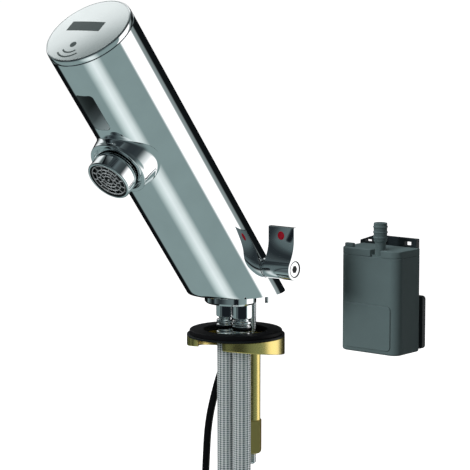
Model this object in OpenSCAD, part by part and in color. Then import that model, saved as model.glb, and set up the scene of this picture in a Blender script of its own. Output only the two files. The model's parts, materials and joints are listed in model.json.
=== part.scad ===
// Electronic mixer tap: a leaning chrome tube with a sensor window, a side mixing lever,
// two braided supply hoses, a clamp set for the deck and a battery box on its wall bracket.
// Millimetres. +Z is up, +X is the user's right, the spout looks towards -Y.
// The origin is the middle of the flat foot that stands on the deck.

/* [Tube body] */
// Outer diameter of the leaning tube
body_d = 50; // [48:0.5:54]
// Lean of the tube forward from upright, degrees
lean = 38.7; // [35:0.1:42]
// Length of the tube along its axis, from the foot to the cap seam
body_len = 194.5; // [190:0.5:220]
// Wall thickness of the tube
wall = 3; // [2.5:0.1:3.2]
// Thickness of the foot of the tube
foot_t = 6; // [5:0.5:6.5]

/* [Cap] */
// Height of the cap above the seam
cap_h = 3.2; // [2.8:0.1:6]
// Width of the rounded chrome rim round the satin face
cap_rim = 1.2; // [0.8:0.1:2]

/* [Spout] */
// Distance from the cap seam down to the middle of the spout
spout_at = 69.1; // [66.5:0.2:72.5]
// Outer diameter of the collar at its front face
collar_d = 34.2; // [32:0.2:36]
// Distance from the skin of the tube to the front face of the collar
collar_reach = 4.5; // [3.5:0.1:6]
// Outer diameter of the aerator housing
aerator_d = 25.8; // [25.4:0.1:27]
// Distance from the skin of the tube to the mouth of the aerator
aerator_reach = 14.3; // [12:0.1:17]

/* [Sensor] */
// Distance from the cap seam down to the middle of the sensor window
window_down = 32.9; // [30:0.1:34.5]
// Height of the sensor window along the tube
window_h = 24; // [20:0.5:26]
// Width of the sensor window
window_w = 11.6; // [11.4:0.1:12.4]

/* [Lever] */
// Height of the lever axis above the deck
pivot_z = 17.3; // [17:0.1:18]
// Diameter of the round boss of the lever
boss_d = 12.6; // [11.6:0.1:13.5]
// Height of the blade above the lever axis
blade_h = 23.8; // [21:0.1:30]
// Thickness of the blade at its tip
blade_t = 2.7; // [2.2:0.1:3.2]
// Width of the lever along its axis
lever_w = 18.2; // [17:0.1:22]

/* [Deck fixing] */
// Gap between the foot and the rubber washer as shown, the deck thickness
deck_t = 21.4; // [18:0.1:24]
// Radius of the rubber washer
washer_r = 26.9; // [25:0.1:28]
// Radius of the pressure ring and the bracket
ring_r = 28.4; // [28:0.1:30]
// Length of the threaded stud below the foot
stud_len = 104; // [100:0.5:120]
// Thread diameter of the stud
stud_d = 6; // [5:0.5:6]

/* [Supply hoses] */
// Outer diameter of the braided hose
hose_d = 10.6; // [9:0.1:10.8]
// Diameter of the crimped ferrules
ferrule_d = 11.4; // [11:0.1:11.6]
// Width across the flats of the union nuts
union_af = 19; // [17:0.5:20]

/* [Signal cable] */
// Diameter of the signal cable
cable_d = 4.4; // [4:0.1:4.4]

/* [Battery box] */
// Width of the battery box
box_w = 41; // [39:0.2:44]
// Depth of the battery box
box_d = 23; // [22:0.2:26]
// Height of the battery box, lid included
box_h = 60.5; // [57:0.5:70]
// Wall thickness of the battery box
box_wall = 1.2; // [1:0.1:1.3]

/* [Hidden] */

// Shared fits and overruns
fit = 0.05;
slack = 0.15;
gap = 0.3;
over = 1;
$fn = 96;
fine = 48;
hot_side = -1;
cold_side = 1;

// Tube
body_r = body_d / 2;
bore_r = body_r - wall;
foot_drop = body_r * tan(lean) + over;
reach_box = 2 * (body_len + body_d);
heel_inset = 3.5;
heel_slope = 1.68;
foot_half_y = body_r / cos(lean);
side_margin = 0.5;
heel_side = body_r + side_margin;
heel_front = foot_half_y - heel_inset;
heel_cy = (heel_side * heel_side - heel_front * heel_front) / (2 * heel_front);
heel_cone_r = heel_front + heel_cy;
heel_cone_h = body_d;

// Cap and its inlays
cap_top = body_len + cap_h;
cap_skirt_h = 6;
cap_skirt_r = bore_r - slack;
cap_skirt_wall = 2;
cap_round = 0.8;
face_r = body_r - cap_rim;
face_t = 0.8;
cap_ring_w = 1.2;
cap_ring_at = body_len - cap_skirt_h / 2;
cap_ring_h = 1.6;
inlay_t = 0.25;
symbol_x = -1.6;
dot_r = 2;
arc_w = 1;
arc_r1 = 6;
arc_r2 = 9.2;
sign_margin = 2.1;
dot_at = face_r - arc_r2 - arc_w / 2 - sign_margin;
arc_half = 48;
plate_w = 23.4;
plate_h = 7.4;
plate_x = -3;
plate_y = 2.5;

// Coil of the solenoid, behind the outlet pipe
coil_y = 3;
coil_r = 10.5;

// Spout parts, measured outward from the tube axis
spout_station = body_len - spout_at;
collar_front = body_r + collar_reach;
mouth_front = body_r + aerator_reach;
aerator_r = aerator_d / 2;
neck_step = 1.5;
neck_r = aerator_r - neck_step;
neck_deep = 4;
neck_back = body_r - neck_deep;
neck_wall = 2;
neck_bore_r = neck_r - neck_wall;
collar_flare = 1.6;
collar_r = collar_d / 2;
collar_rim = 2.2;
recess_r = collar_r - collar_rim;
recess_depth = 3.5;
recess_at = collar_front - recess_depth;
cup_wall = 1.3;
cup_step = 0.3;
cup_r = aerator_r - cup_wall;
cup_back = recess_at + cup_wall;
lip_round = 0.9;
seal_t = 1.4;
insert_back = cup_back + seal_t + fit;
insert_sink = 0.6;
insert_front = mouth_front - insert_sink;
insert_rim = 1.3;
grid_ring_w = 0.75;
grid_gap = 1.25;
grid_rings = 4;
grid_spokes = 12;
grid_spoke_w = 0.6;
grid_t = 1.6;
grid_hub_r = 1.9;
seal_r = cup_r - fit;
elbow_r = 7;
elbow_bore_r = 5;
elbow_gap = 0.2;
elbow_flange_r = neck_r - elbow_gap;
elbow_flange_t = 1.8;
elbow_front = neck_back - elbow_gap;
pipe_r = 3.5;
pipe_bore_r = 2.4;
pipe_shift = 0.25;
pipe_y = (bore_r + coil_r - coil_y) / 2 - pipe_shift;
socket_r = 5.2;
elbow_back = pipe_y - socket_r - over;
socket_len = 13.4;
socket_depth = 6;

// Sensor parts
window_at = body_len - window_down;
window_round = 2.2;
window_t = 1.4;
nose_margin = 1;
nose_gap = 0.7;
nose_front = body_r - window_t - nose_gap;
housing_inset = 2;
housing_front = bore_r - housing_inset;
housing_t = 7;
housing_back = housing_front - housing_t;
housing_side = 2.2;
housing_w = window_w + 2 * housing_side;
housing_over = 1.6;
eye_r = 1.9;
eye_pitch = 10;
eye_len = 8;
board_t = 1.6;
board_shift = 2.4;
board_mid = window_at + board_shift;
board_front = housing_back - fit;
carrier_r = bore_r - gap;
carrier_front = board_front - board_t - fit;
carrier_h = 2 * (body_len - cap_skirt_h - gap - board_mid);
carrier_half_w = sqrt(carrier_r * carrier_r - carrier_front * carrier_front);
carrier_side = 3.5;
carrier_back = 16;
carrier_wall = 4;
carrier_pocket_w = 2 * (carrier_half_w - carrier_side);
carrier_pocket_d = carrier_front + carrier_r - carrier_back;
board_inset = 1.2;
board_side = 5.5;
board_w = 2 * (carrier_half_w - board_side);
board_h = carrier_h - 2 * board_inset;

// Places of the hoses, to the side and along the depth
hose_x = 6;
hose_y = -2.7;

// Mixing valve, on the lever axis
lever_inset = 12.6;
pivot_back = bore_r - lever_inset;
pivot_y = (pivot_back - pivot_z * sin(lean)) / cos(lean);
pivot_along = -pivot_y * sin(lean) + pivot_z * cos(lean);
valve_r = 8;
valve_half = sqrt(pow(bore_r - gap, 2) - pow(pivot_back + valve_r, 2));
spool_r = 4.95;
spool_bore_r = spool_r + fit;
valve_end_t = 3;
valve_port_r = 2;
saddle_front_wall = 3.3;
saddle_back_wall = 2.2;
saddle_front = pivot_y - hose_y + valve_port_r + saddle_front_wall;
saddle_back = hose_y - pivot_y + valve_port_r + saddle_back_wall;
plate_top = foot_t + over;
shaft_r = 3;
spool_play = 0.5;
spool_back = valve_half - valve_end_t - spool_play;
bush_deep = 6;
bush_inner = valve_half - bush_deep;
spool_len = spool_back + bush_inner - over;
bush_flange_r = 5.9;
bush_flange_t = 0.5;
lever_gap = 0.6;
lever_start = body_r + lever_gap;
lever_end = lever_start + lever_w;
bush_end = lever_start - gap;
shaft_short = 4.6;
shaft_end = lever_end - shaft_short;
boss_r = boss_d / 2;
flank_from_share = 0.58;
flank_width_share = 0.84;
flank_to = 16;
flank_steps = 12;
screw_head_r = 4.3;
screw_head_t = 2.4;
screw_recess = 0.3;
screw_shank_r = 1.25;
screw_len = 7;
hex_r = 2.3;
hex_depth = 1.8;
marker_r = 2.4;
marker_t = 0.6;
marker_up = 18.7;

// Solenoid valve, on stations along the tube
block_from = 36;
block_to = 50;
block_r = bore_r - gap;
riser_y = pivot_back;
chamber_r = 9;
chamber_from = 43;
nozzle_r = 3.2;
nozzle_to = 45.5;
coil_from = block_to;
coil_to = 74;
core_r = 4.2;
core_bore_r = core_r + fit;
plunger_from = nozzle_to + fit;
plunger_to = 62;
spring_r = 3.6;
spring_bore_r = 2.8;
spring_to = 68;
drill_r = 1.8;
cross_r = 1.4;
block_floor = 2.4;
lead_r = 1.4;
lead_gap = 1;
lead_steps = 4;
lead_y = bore_r - lead_r - lead_gap;

// Foot plate with the spigot that centres the tap in its hole
hole_y = -1;
spigot_r = 15;
spigot_y = -6;
spigot_cut_r = 18.2;
spigot_h = 5.8;
port_r = 4.4;
port_depth = 8;
relief_r = 2.5;
gasket_w = 2;
gasket_land = 0.5;
gasket_r = spigot_r - spigot_y + gasket_land + gasket_w;
gasket_t = 1.2;
pin_r = 1.05;
pin_shift = 0.15;
pin_y = (gasket_r + foot_half_y) / 2 - pin_shift;
pin_deep = 2.4;
pin_len = 10;
stud_r = stud_d / 2 - fit;
stud_y = 13.3;
stud_chamfer = 0.8;

// Clamp set
washer_hole_r = 18.4;
washer_top = -deck_t;
washer_t = 2.6;
ring_t = 1.2;
bracket_top = washer_top - washer_t - ring_t;
bracket_w = 6.6;
bracket_thin = 4.3;
bracket_slope = 8.4;
mouth_mid = 264;
mouth_half = 27.5;
ear_r = 5.6;
stud_ear_h = 10.8;
ear_bottom = bracket_top - stud_ear_h;
bridge_y = 12.2;
stud_play = 0.35;
stud_hole_r = stud_r + stud_play;
sleeve_r = 5.4;
sleeve_len = 41.3;
nut_r = 6.5;
nut_len = 19.9;
thread_play = 0.08;
nut_bore_r = stud_r + thread_play;
nut_chamfer = 1;

// Hoses and their ends
hose_r = hose_d / 2;
ferrule_r = ferrule_d / 2;
ferrule_top = -spigot_h;
ferrule_waist = 0.5;
ferrule_upper = 8.7;
waist_h = 1.2;
ferrule_round = 0.8;
tail_len = 18;
tail_neck_r = 4.5;
tail_flange_r = 7.3;
tail_bore_r = 3;
tail_neck_h = 6;
tail_flange_t = 2.4;
union_h = 17;
union_top_t = 4;
union_r = union_af / sqrt(3);
union_thread_r = 7.5;
union_relief_r = 7.9;
union_relief_h = 4.4;
union_seal_t = 1.9;

// Hose route from the ferrule down to the lower crimp: [sideways from the ferrule, height]
HOSE_ROUTE = [
    [0, -24], [0, -36], [0, -60], [0, -90], [0, -120], [0.3, -145], [1, -170], [2.3, -195],
    [4, -220], [5.7, -245], [7, -270], [7.7, -290], [8, -305], [8, -318], [8, -330]
];
hose_top = HOSE_ROUTE[0][1];
hose_last = HOSE_ROUTE[len(HOSE_ROUTE) - 1];
spread_x = hose_x + hose_last[0];
hose_end_z = hose_last[1];
hose_sides = 12;

// Signal cable route from the strain relief down to its plug
CABLE_ROUTE = [
    [0, 4.4, -15], [0, 4.4, -20], [-1.6, 5.2, -25], [-5, 6.2, -30], [-9, 6.4, -35.5],
    [-12.4, 6, -41], [-15.2, 5.3, -47], [-17.7, 4.3, -55], [-20.2, 3.1, -65.5],
    [-22.3, 2.2, -76], [-23.5, 1.5, -86.5], [-24, 1, -98], [-24.4, 0.6, -110],
    [-25, 0.3, -128], [-26.2, 0, -150], [-28, 0, -175], [-30, 0, -200], [-31.6, 0, -225],
    [-32.6, 0, -250], [-33, 0, -275], [-33, 0, -300], [-33, 0, -325], [-33, 0, -350],
    [-33, 0, -368], [-33, 0, -380]
];
cable_r = cable_d / 2;
cable_y = CABLE_ROUTE[0][1];
cable_sides = 10;
relief_top_r = 3;
relief_grip = 0.2;
plug_w = 8;
plug_d = 5.4;
plug_len = 16;
plug_neck_r = 3;
plug_neck_len = 5;

// Battery box in its own frame: the middle of its plan, on its bottom face
box_x = 61.4;
box_y = 55.5;
box_z = -35.2;
box_round = 5.5;
lid_h = 4;
lid_t = 1.6;
case_h = box_h - lid_h;
lid_skirt_t = 1;
lid_skirt_h = 3;
case_floor = 1.6;
inner_w = box_w - 2 * box_wall;
inner_d = box_d - 2 * box_wall;
inner_round = box_round - box_wall;
battery_w = 35;
battery_d = 19;
battery_h = 36;
battery_round = 2.5;
contact_w = 6;
contact_t = 0.5;
contact_h = 3;
contact_x = 9;
conduit_x = 5;
conduit_y = -6.5;
conduit_r = 4.3;
conduit_neck_r = 3.2;
conduit_bore_r = 2.3;
conduit_h = 15.5;
barb_rib = 0.45;
barb_pitch = 4.2;
barb_first = 5;
barb_count = 3;
notch_w = 7;
panel_w = 32;
panel_h = 26;
panel_round = 2.5;
panel_proud = 0.5;
panel_t = 1.2;
latch_leaf_t = 0.4;
latch_leaf_w = 8;
wall_gap = 0.4;
rib_w = 8;
rib_flare = 1.5;
rib_deep = 1.8;
rib_low = 8;
rib_h = 20;
back_plate_w = 30;
back_plate_t = 3.2;
cradle_side = 1.7;
cradle_w = box_w + 2 * cradle_side;
cradle_h = 31;
cradle_round = 2;
ear_x = -2.6;
ear_w = 40;
ear_up = 5;
ear_low = 1.5;
ear_h = 11;
ear_cut = 10;
ear_slot_x = 14;
ear_slot_w = 4.6;
ear_slot_up = 0.75;
ear_slot_left_h = 1.4;
ear_slot_right_h = 2.4;
screw_hole_r = 2.1;
screw_pitch = 20;
screw_up = 40;
nub_w = 5.6;
nub_d = 2.6;
nub_h = 2.3;
nub_x = -15.6;
nub_y = -7.8;

// A rounded rectangle in the plane, square corners where the radius is zero
module rounded_rect(w, h, r) {
    square([w - 2 * r, h], center = true);
    square([w, h - 2 * r], center = true);
    for (sx = [-1, 1], sy = [-1, 1])
        translate([sx * (w / 2 - r), sy * (h / 2 - r)]) circle(r = r, $fn = fine);
}

// The frame of the leaning tube: local z runs up the tube axis, local -y looks out of the spout
module lean_frame(along = 0) {
    rotate([lean, 0, 0]) translate([0, 0, along]) children();
}

// The frame of things that point out of the front: local z runs outward from the tube axis
module front_frame(along) {
    lean_frame(along) rotate([90, 0, 0]) children();
}

// The frame of the lever axis: local z runs to the user's right, local y is up
module lever_frame() {
    translate([0, pivot_y, pivot_z]) rotate([90, 0, 90]) children();
}

// The frame of the battery box
module box_frame(up = 0) {
    translate([box_x, box_y, box_z + up]) children();
}

// A bar round the z axis between two heights
module bar(r, from, to) {
    translate([0, 0, from]) cylinder(r = r, h = to - from);
}

// A sleeve round the z axis between two heights
module sleeve(r, bore, from, to) {
    difference() {
        bar(r, from, to);
        bar(bore, from - over, to + over);
    }
}

// Ring points of a tube of radius r with n sides about point p, square to direction t
function unit(v) = v / norm(v);
function ring_points(p, t, r, n) =
    let (side = unit(cross(t, [0, 1, 0])), other = cross(side, t))
    [for (i = [0:n - 1]) p + r * cos(360 * i / n) * side + r * sin(360 * i / n) * other];
function tangent(path, i) =
    let (last = len(path) - 1)
    unit(path[min(i + 1, last)] - path[max(i - 1, 0)]);

// A soft tube swept along a list of points, closed at both ends
module soft_tube(path, r, n) {
    last = len(path) - 1;
    rings = [for (i = [0:last]) each ring_points(path[i], tangent(path, i), r, n)];
    sides = [for (i = [0:last - 1], j = [0:n - 1])
        let (a = i * n + j, b = i * n + (j + 1) % n)
        each [[a, b, a + n], [b, b + n, a + n]]];
    start = [for (j = [1:n - 2]) [0, j + 1, j]];
    end = [for (j = [1:n - 2]) [last * n, last * n + j, last * n + j + 1]];
    polyhedron(points = rings, faces = concat(sides, start, end), convexity = 8);
}

// Tube of the body: cut flat on the deck, hollow, its lower front edge eased
module body_shell() {
    color("gainsboro") difference() {
        intersection() {
            lean_frame(-foot_drop) cylinder(r = body_r, h = body_len + foot_drop);
            translate([-reach_box / 2, -reach_box / 2, 0]) cube(reach_box);
            union() {
                translate([0, heel_cy, 0])
                    cylinder(r1 = heel_cone_r, r2 = heel_cone_r + heel_slope * heel_cone_h,
                        h = heel_cone_h);
                translate([-reach_box / 2, 0, -over]) cube(reach_box);
                translate([-reach_box / 2, -reach_box / 2, heel_cone_h / 2]) cube(reach_box);
            }
        }
        intersection() {
            lean_frame(-foot_drop) cylinder(r = bore_r, h = body_len + foot_drop + over);
            translate([-reach_box / 2, -reach_box / 2, foot_t]) cube(reach_box);
        }
        front_frame(spout_station) bar(neck_r + fit, 0, body_r + over);
        front_frame(window_at) linear_extrude(body_r + over)
            rounded_rect(window_w + 2 * slack, window_h + 2 * slack, window_round);
        lever_frame() bar(spool_r + fit, 0, body_r + over);
        translate([0, spigot_y, 0]) bar(spigot_r + slack, -over, foot_t + over);
        translate([0, stud_y, 0]) bar(stud_r + fit, -over, foot_t + over);
        translate([0, pin_y, 0]) bar(pin_r + fit, -over, pin_deep + gap);
        sleeve(gasket_r, gasket_r - gasket_w, -over, gasket_t);
    }
}

// Cap with a rounded rim, a skirt that fits the tube and a seat for the satin face
module top_cap() {
    color("silver") lean_frame() difference() {
        union() {
            rotate_extrude() polygon(concat(
                [[0, body_len], [body_r, body_len]],
                [for (a = [0:15:90]) [body_r - cap_round + cap_round * cos(a),
                    cap_top - cap_round + cap_round * sin(a)]],
                [[0, cap_top]]));
            sleeve(cap_skirt_r, cap_skirt_r - cap_skirt_wall, body_len - cap_skirt_h,
                body_len + cap_h / 2);
        }
        bar(face_r, cap_top - face_t, cap_top + over);
        sleeve(cap_skirt_r + over, cap_skirt_r - cap_ring_w, cap_ring_at - cap_ring_h / 2,
            cap_ring_at + cap_ring_h / 2);
    }
}

// Satin disc let into the cap, with pockets for its inlays
module cap_face() {
    color("whitesmoke") lean_frame() difference() {
        bar(face_r - fit, cap_top - face_t, cap_top);
        translate([0, 0, cap_top - inlay_t]) linear_extrude(over) {
            symbol_outline();
            plate_outline(0);
        }
    }
}

// Rubber ring in the groove of the cap skirt
module cap_seal() {
    color("black") lean_frame()
        sleeve(bore_r - fit, cap_skirt_r - cap_ring_w + fit, cap_ring_at - cap_ring_h / 2 + fit,
            cap_ring_at + cap_ring_h / 2 - fit);
}

// Flat outline of one arc of the wave sign, centred on its dot
module arc_band(r) {
    intersection() {
        difference() {
            circle(r = r + arc_w / 2);
            circle(r = r - arc_w / 2);
        }
        polygon([[0, 0], [-2 * r * sin(arc_half), -2 * r * cos(arc_half)],
            [2 * r * sin(arc_half), -2 * r * cos(arc_half)]]);
    }
}

// Flat outline of the wave sign: a dot with two arcs in front of it
module symbol_outline() {
    translate([symbol_x, -dot_at]) {
        circle(r = dot_r, $fn = fine);
        arc_band(arc_r1);
        arc_band(arc_r2);
    }
}

// Flat outline of the bare plate, smaller all round by the given margin
module plate_outline(margin) {
    translate([plate_x, plate_y])
        square([plate_w - 2 * margin, plate_h - 2 * margin], center = true);
}

module sensor_symbol() {
    color("dimgray") lean_frame(cap_top - inlay_t) linear_extrude(inlay_t) symbol_outline();
}

module blank_plate() {
    color("darkslategray") lean_frame(cap_top - inlay_t) linear_extrude(inlay_t)
        plate_outline(fit);
}

// Dark window, curved with the tube
module sensor_window() {
    color("black") intersection() {
        front_frame(window_at) linear_extrude(body_r + over)
            rounded_rect(window_w, window_h, window_round);
        lean_frame() sleeve(body_r, body_r - window_t, window_at - window_h, window_at + window_h);
    }
}

// Housing that holds the two eyes against the window
module sensor_housing() {
    color("dimgray") difference() {
        front_frame(window_at) {
            translate([0, 0, housing_back]) linear_extrude(housing_front - housing_back)
                square([housing_w, window_h + 2 * housing_over], center = true);
            linear_extrude(nose_front)
                square([window_w - 2 * nose_margin, window_h - 2 * nose_margin], center = true);
        }
        front_frame(window_at) translate([0, 0, -over]) linear_extrude(housing_back + over)
            square([housing_w, window_h], center = true);
        for (s = [-1, 1]) front_frame(window_at + s * eye_pitch / 2)
            bar(eye_r + fit, nose_front - eye_len, nose_front + over);
    }
}

// Infrared sender and receiver
module sensor_eyes() {
    color("indigo") for (s = [-1, 1]) front_frame(window_at + s * eye_pitch / 2)
        bar(eye_r, nose_front - eye_len + fit, nose_front);
}

module circuit_board() {
    color("darkgreen") front_frame(board_mid) {
        translate([0, 0, board_front - board_t]) linear_extrude(board_t)
            square([board_w, board_h], center = true);
    }
}

// Half round carrier behind the board, hollow for the electronics
module board_carrier() {
    color("slategray") difference() {
        intersection() {
            lean_frame(board_mid - carrier_h / 2) cylinder(r = carrier_r, h = carrier_h);
            front_frame(board_mid) translate([-body_d, -body_d, -body_d])
                cube([2 * body_d, 2 * body_d, body_d + carrier_front]);
        }
        front_frame(board_mid) translate([0, 0, carrier_front - carrier_pocket_d])
            linear_extrude(carrier_pocket_d + over)
            square([carrier_pocket_w, carrier_h - 2 * carrier_wall], center = true);
    }
}

// Collar of the spout, seated on the round of the tube
module spout_collar() {
    color("silver") difference() {
        front_frame(spout_station) difference() {
            translate([0, 0, bore_r - wall])
                cylinder(r1 = collar_r + collar_flare, r2 = collar_r,
                    h = collar_front - bore_r + wall);
            bar(neck_r + fit, 0, collar_front);
            bar(recess_r, recess_at, collar_front + over);
        }
        lean_frame(spout_station - body_d) cylinder(r = body_r, h = 2 * body_d);
    }
}

// Housing of the aerator: a threaded neck in the collar and a cup with a rounded lip
module aerator_housing() {
    color("silver") front_frame(spout_station) rotate_extrude() polygon(concat(
        [[neck_bore_r, neck_back], [neck_r, neck_back], [neck_r, recess_at],
            [aerator_r - cup_step, recess_at], [aerator_r - cup_step, collar_front + slack],
            [aerator_r, collar_front + slack]],
        [for (a = [0:15:90]) [aerator_r - lip_round + lip_round * cos(a),
            mouth_front - lip_round + lip_round * sin(a)]],
        [[cup_r, mouth_front], [cup_r, cup_back], [neck_bore_r, cup_back]]));
}

// Flat outline of the mesh: a rim, rings and spokes round an eye
module grid_outline(rim_r, ring_first) {
    difference() {
        circle(r = rim_r);
        circle(r = ring_first);
    }
    for (i = [1:grid_rings])
        let (r = ring_first - i * (grid_ring_w + grid_gap) + grid_ring_w)
        difference() {
            circle(r = r, $fn = fine);
            circle(r = r - grid_ring_w, $fn = fine);
        }
    for (i = [0:grid_spokes - 1]) rotate(360 * i / grid_spokes)
        translate([grid_hub_r - grid_spoke_w, -grid_spoke_w / 2])
        square([ring_first - grid_hub_r + 2 * grid_spoke_w, grid_spoke_w]);
    circle(r = grid_hub_r, $fn = fine);
}

// Mesh insert: a rim that carries the mesh at its mouth
module aerator_insert() {
    rim_r = cup_r - slack;
    ring_first = rim_r - insert_rim;
    color("dimgray") front_frame(spout_station) {
        sleeve(rim_r, ring_first, insert_back, insert_front - grid_t);
        translate([0, 0, insert_front - grid_t]) linear_extrude(grid_t)
            grid_outline(rim_r, ring_first);
    }
}

module aerator_seal() {
    color("black") front_frame(spout_station)
        sleeve(seal_r, neck_bore_r, cup_back, cup_back + seal_t);
}

// Elbow that takes the water from the pipe to the aerator
module spout_elbow() {
    color("burlywood") difference() {
        union() {
            front_frame(spout_station) bar(elbow_r, elbow_back, elbow_front);
            front_frame(spout_station)
                bar(elbow_flange_r, elbow_front - elbow_flange_t, elbow_front);
            lean_frame() translate([0, -pipe_y, 0])
                bar(socket_r, spout_station - socket_len, spout_station);
        }
        front_frame(spout_station) bar(elbow_bore_r, elbow_back + wall, elbow_front + over);
        lean_frame() translate([0, -pipe_y, 0]) {
            bar(pipe_r + fit, spout_station - socket_len - over, spout_station - socket_len + socket_depth);
            bar(pipe_bore_r, spout_station - socket_len, spout_station);
        }
    }
}

module outlet_pipe() {
    color("peru") lean_frame() translate([0, -pipe_y, 0])
        sleeve(pipe_r, pipe_bore_r, block_to, spout_station - socket_len + socket_depth - fit);
}

// Valve block across the tube: inlet below, seat in the middle, outlet at the front
module solenoid_block() {
    color("burlywood") lean_frame() difference() {
        bar(block_r, block_from, block_to);
        difference() {
            translate([0, coil_y, 0]) bar(chamber_r, chamber_from, block_to + over);
            translate([0, coil_y, 0]) bar(nozzle_r, block_from, nozzle_to);
        }
        translate([0, coil_y, 0]) bar(drill_r, block_from + block_floor, nozzle_to + over);
        translate([0, riser_y, 0]) bar(pipe_bore_r, block_from - over, chamber_from + over);
        translate([0, coil_y, block_from + block_floor + drill_r]) rotate([90, 0, 0])
            bar(cross_r, 0, pipe_y + coil_y);
        translate([0, -pipe_y, 0]) bar(pipe_bore_r, block_from + block_floor, block_to + over);
        translate([0, lead_y, 0]) bar(lead_r + gap, block_from - over, block_to + over);
        translate([-lead_r - gap, lead_y, block_from - over])
            cube([2 * (lead_r + gap), body_r, block_to - block_from + 2 * over]);
    }
}

module solenoid_coil() {
    color("darkslategray") lean_frame() translate([0, coil_y, 0])
        sleeve(coil_r, core_bore_r, coil_from, coil_to);
}

// Steel plunger that lifts off the seat
module solenoid_plunger() {
    color("lightsteelblue") lean_frame() translate([0, coil_y, 0])
        bar(core_r, plunger_from, plunger_to);
}

module plunger_spring() {
    color("gray") lean_frame() translate([0, coil_y, 0])
        sleeve(spring_r, spring_bore_r, plunger_to, spring_to);
}

module magnet_core() {
    color("gray") lean_frame() translate([0, coil_y, 0]) bar(core_r, spring_to, coil_to);
}

module riser_pipe() {
    color("peru") lean_frame() translate([0, riser_y, 0])
        sleeve(pipe_r, pipe_bore_r, pivot_along + valve_r - over, block_from);
}

// Mixing valve: a cross barrel on a saddle that stands on the foot plate
module mixing_valve() {
    color("burlywood") difference() {
        lever_frame() {
            bar(valve_r, -valve_half, valve_half);
            translate([-saddle_front, plate_top - pivot_z, -valve_half])
                cube([saddle_front + saddle_back, pivot_z - plate_top, 2 * valve_half]);
        }
        lever_frame() bar(spool_bore_r, valve_end_t - valve_half, valve_half + over);
        for (s = [-1, 1]) translate([s * hose_x, hose_y, 0])
            bar(valve_port_r, plate_top - over, pivot_z);
        lean_frame() translate([0, riser_y, 0]) {
            bar(pipe_bore_r, pivot_along, pivot_along + valve_r + over);
            bar(pipe_r + fit, pivot_along + valve_r - over - fit, pivot_along + valve_r + over);
        }
        translate([-lead_r - gap, cable_y - lead_r - gap, plate_top - over])
            cube([2 * (lead_r + gap), body_r, 2 * lead_r + gap + over]);
    }
}

// Spool and shaft that the lever turns
module mixing_spindle() {
    color("lightsteelblue") difference() {
        lever_frame() {
            bar(spool_r, -spool_back, spool_len - spool_back);
            bar(shaft_r, 0, shaft_end);
        }
        for (s = [-1, 1]) translate([s * hose_x, pivot_y, 0])
            bar(valve_port_r, 0, pivot_z + body_r);
        lever_frame() bar(screw_shank_r + fit, shaft_end - screw_len, shaft_end + over);
    }
}

// Bush that carries the shaft in the wall of the tube
module lever_bush() {
    color("silver") lever_frame() difference() {
        union() {
            bar(spool_r, bush_inner, bush_end);
            bar(bush_flange_r, bush_end - bush_flange_t + fit, bush_end);
        }
        bar(shaft_r + fit, 0, bush_end + over);
    }
}

// Half width of the lever at height h above its axis, from the boss into the blade
function flank(h) =
    let (s = min(1, max(0, (h - flank_from_share * boss_r) / (flank_to - flank_from_share * boss_r))))
    blade_t / 2 + (flank_width_share * boss_r - blade_t / 2) * (1 - s) * (1 - s);

// Lever: round boss with a thin upright blade
module mixing_lever() {
    rise = [for (i = [0:flank_steps])
        flank_from_share * boss_r + i * (flank_to - flank_from_share * boss_r) / flank_steps];
    tip = [[blade_t / 2, blade_h], [-blade_t / 2, blade_h]];
    color("silver") lever_frame() difference() {
        union() {
            translate([0, 0, lever_start]) linear_extrude(lever_w) polygon(concat(
                [for (h = rise) [flank(h), h]], tip,
                [for (i = [flank_steps:-1:0]) [-flank(rise[i]), rise[i]]]));
            bar(boss_r, lever_start, lever_end);
        }
        bar(shaft_r + fit, lever_start - over, shaft_end + fit);
        bar(screw_shank_r + slack, shaft_end, lever_end);
        bar(screw_head_r + fit, lever_end - screw_head_t - screw_recess, lever_end + over);
        translate([-blade_t / 2, marker_up, (lever_start + lever_end) / 2]) rotate([0, 90, 0])
            bar(marker_r + fit, -over, marker_t);
    }
}

// Screw with a hexagon socket that holds the lever on its shaft
module lever_screw() {
    head_back = lever_end - screw_head_t - screw_recess;
    color("silver") lever_frame() difference() {
        union() {
            bar(screw_head_r, head_back, lever_end - screw_recess);
            bar(screw_shank_r, shaft_end - screw_len + gap, head_back + fit);
        }
        translate([0, 0, lever_end - screw_recess - hex_depth])
            cylinder(r = hex_r, h = hex_depth + over, $fn = 6);
    }
}

// Red dot on the front of the blade
module hot_marker() {
    color("firebrick") lever_frame()
        translate([-blade_t / 2, marker_up, (lever_start + lever_end) / 2]) rotate([0, 90, 0])
        bar(marker_r, 0, marker_t - fit);
}

// Plate in the foot: spigot below, hose ports and the cable hole through it
module foot_plate() {
    color("darkgray") difference() {
        union() {
            intersection() {
                translate([0, spigot_y, 0]) bar(spigot_r, -spigot_h, 0);
                translate([0, hole_y, 0]) bar(spigot_cut_r, -spigot_h, 0);
            }
            translate([0, spigot_y, 0]) bar(spigot_r, 0, plate_top);
        }
        for (s = [-1, 1]) translate([s * hose_x, hose_y, 0]) {
            bar(port_r + fit, -spigot_h - over, port_depth - spigot_h);
            bar(valve_port_r, 0, plate_top + over);
        }
        translate([0, cable_y, 0]) bar(relief_r, -spigot_h - over, plate_top + over);
    }
}

module foot_gasket() {
    color("black") sleeve(gasket_r - fit, gasket_r - gasket_w + fit, 0, gasket_t - fit);
}

module anti_twist_pin() {
    color("gray") translate([0, pin_y, 0]) bar(pin_r, -pin_len, pin_deep);
}

module fixing_stud() {
    color("lightsteelblue") translate([0, stud_y, 0]) {
        bar(stud_r, stud_chamfer - stud_len, foot_t);
        translate([0, 0, -stud_len])
            cylinder(r1 = stud_r - stud_chamfer, r2 = stud_r, h = stud_chamfer);
    }
}

// A point of the middle plane, by its distance behind the tube axis and its station
function tube_point(back, along) =
    [0, back * cos(lean) - along * sin(lean), back * sin(lean) + along * cos(lean)];

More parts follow.
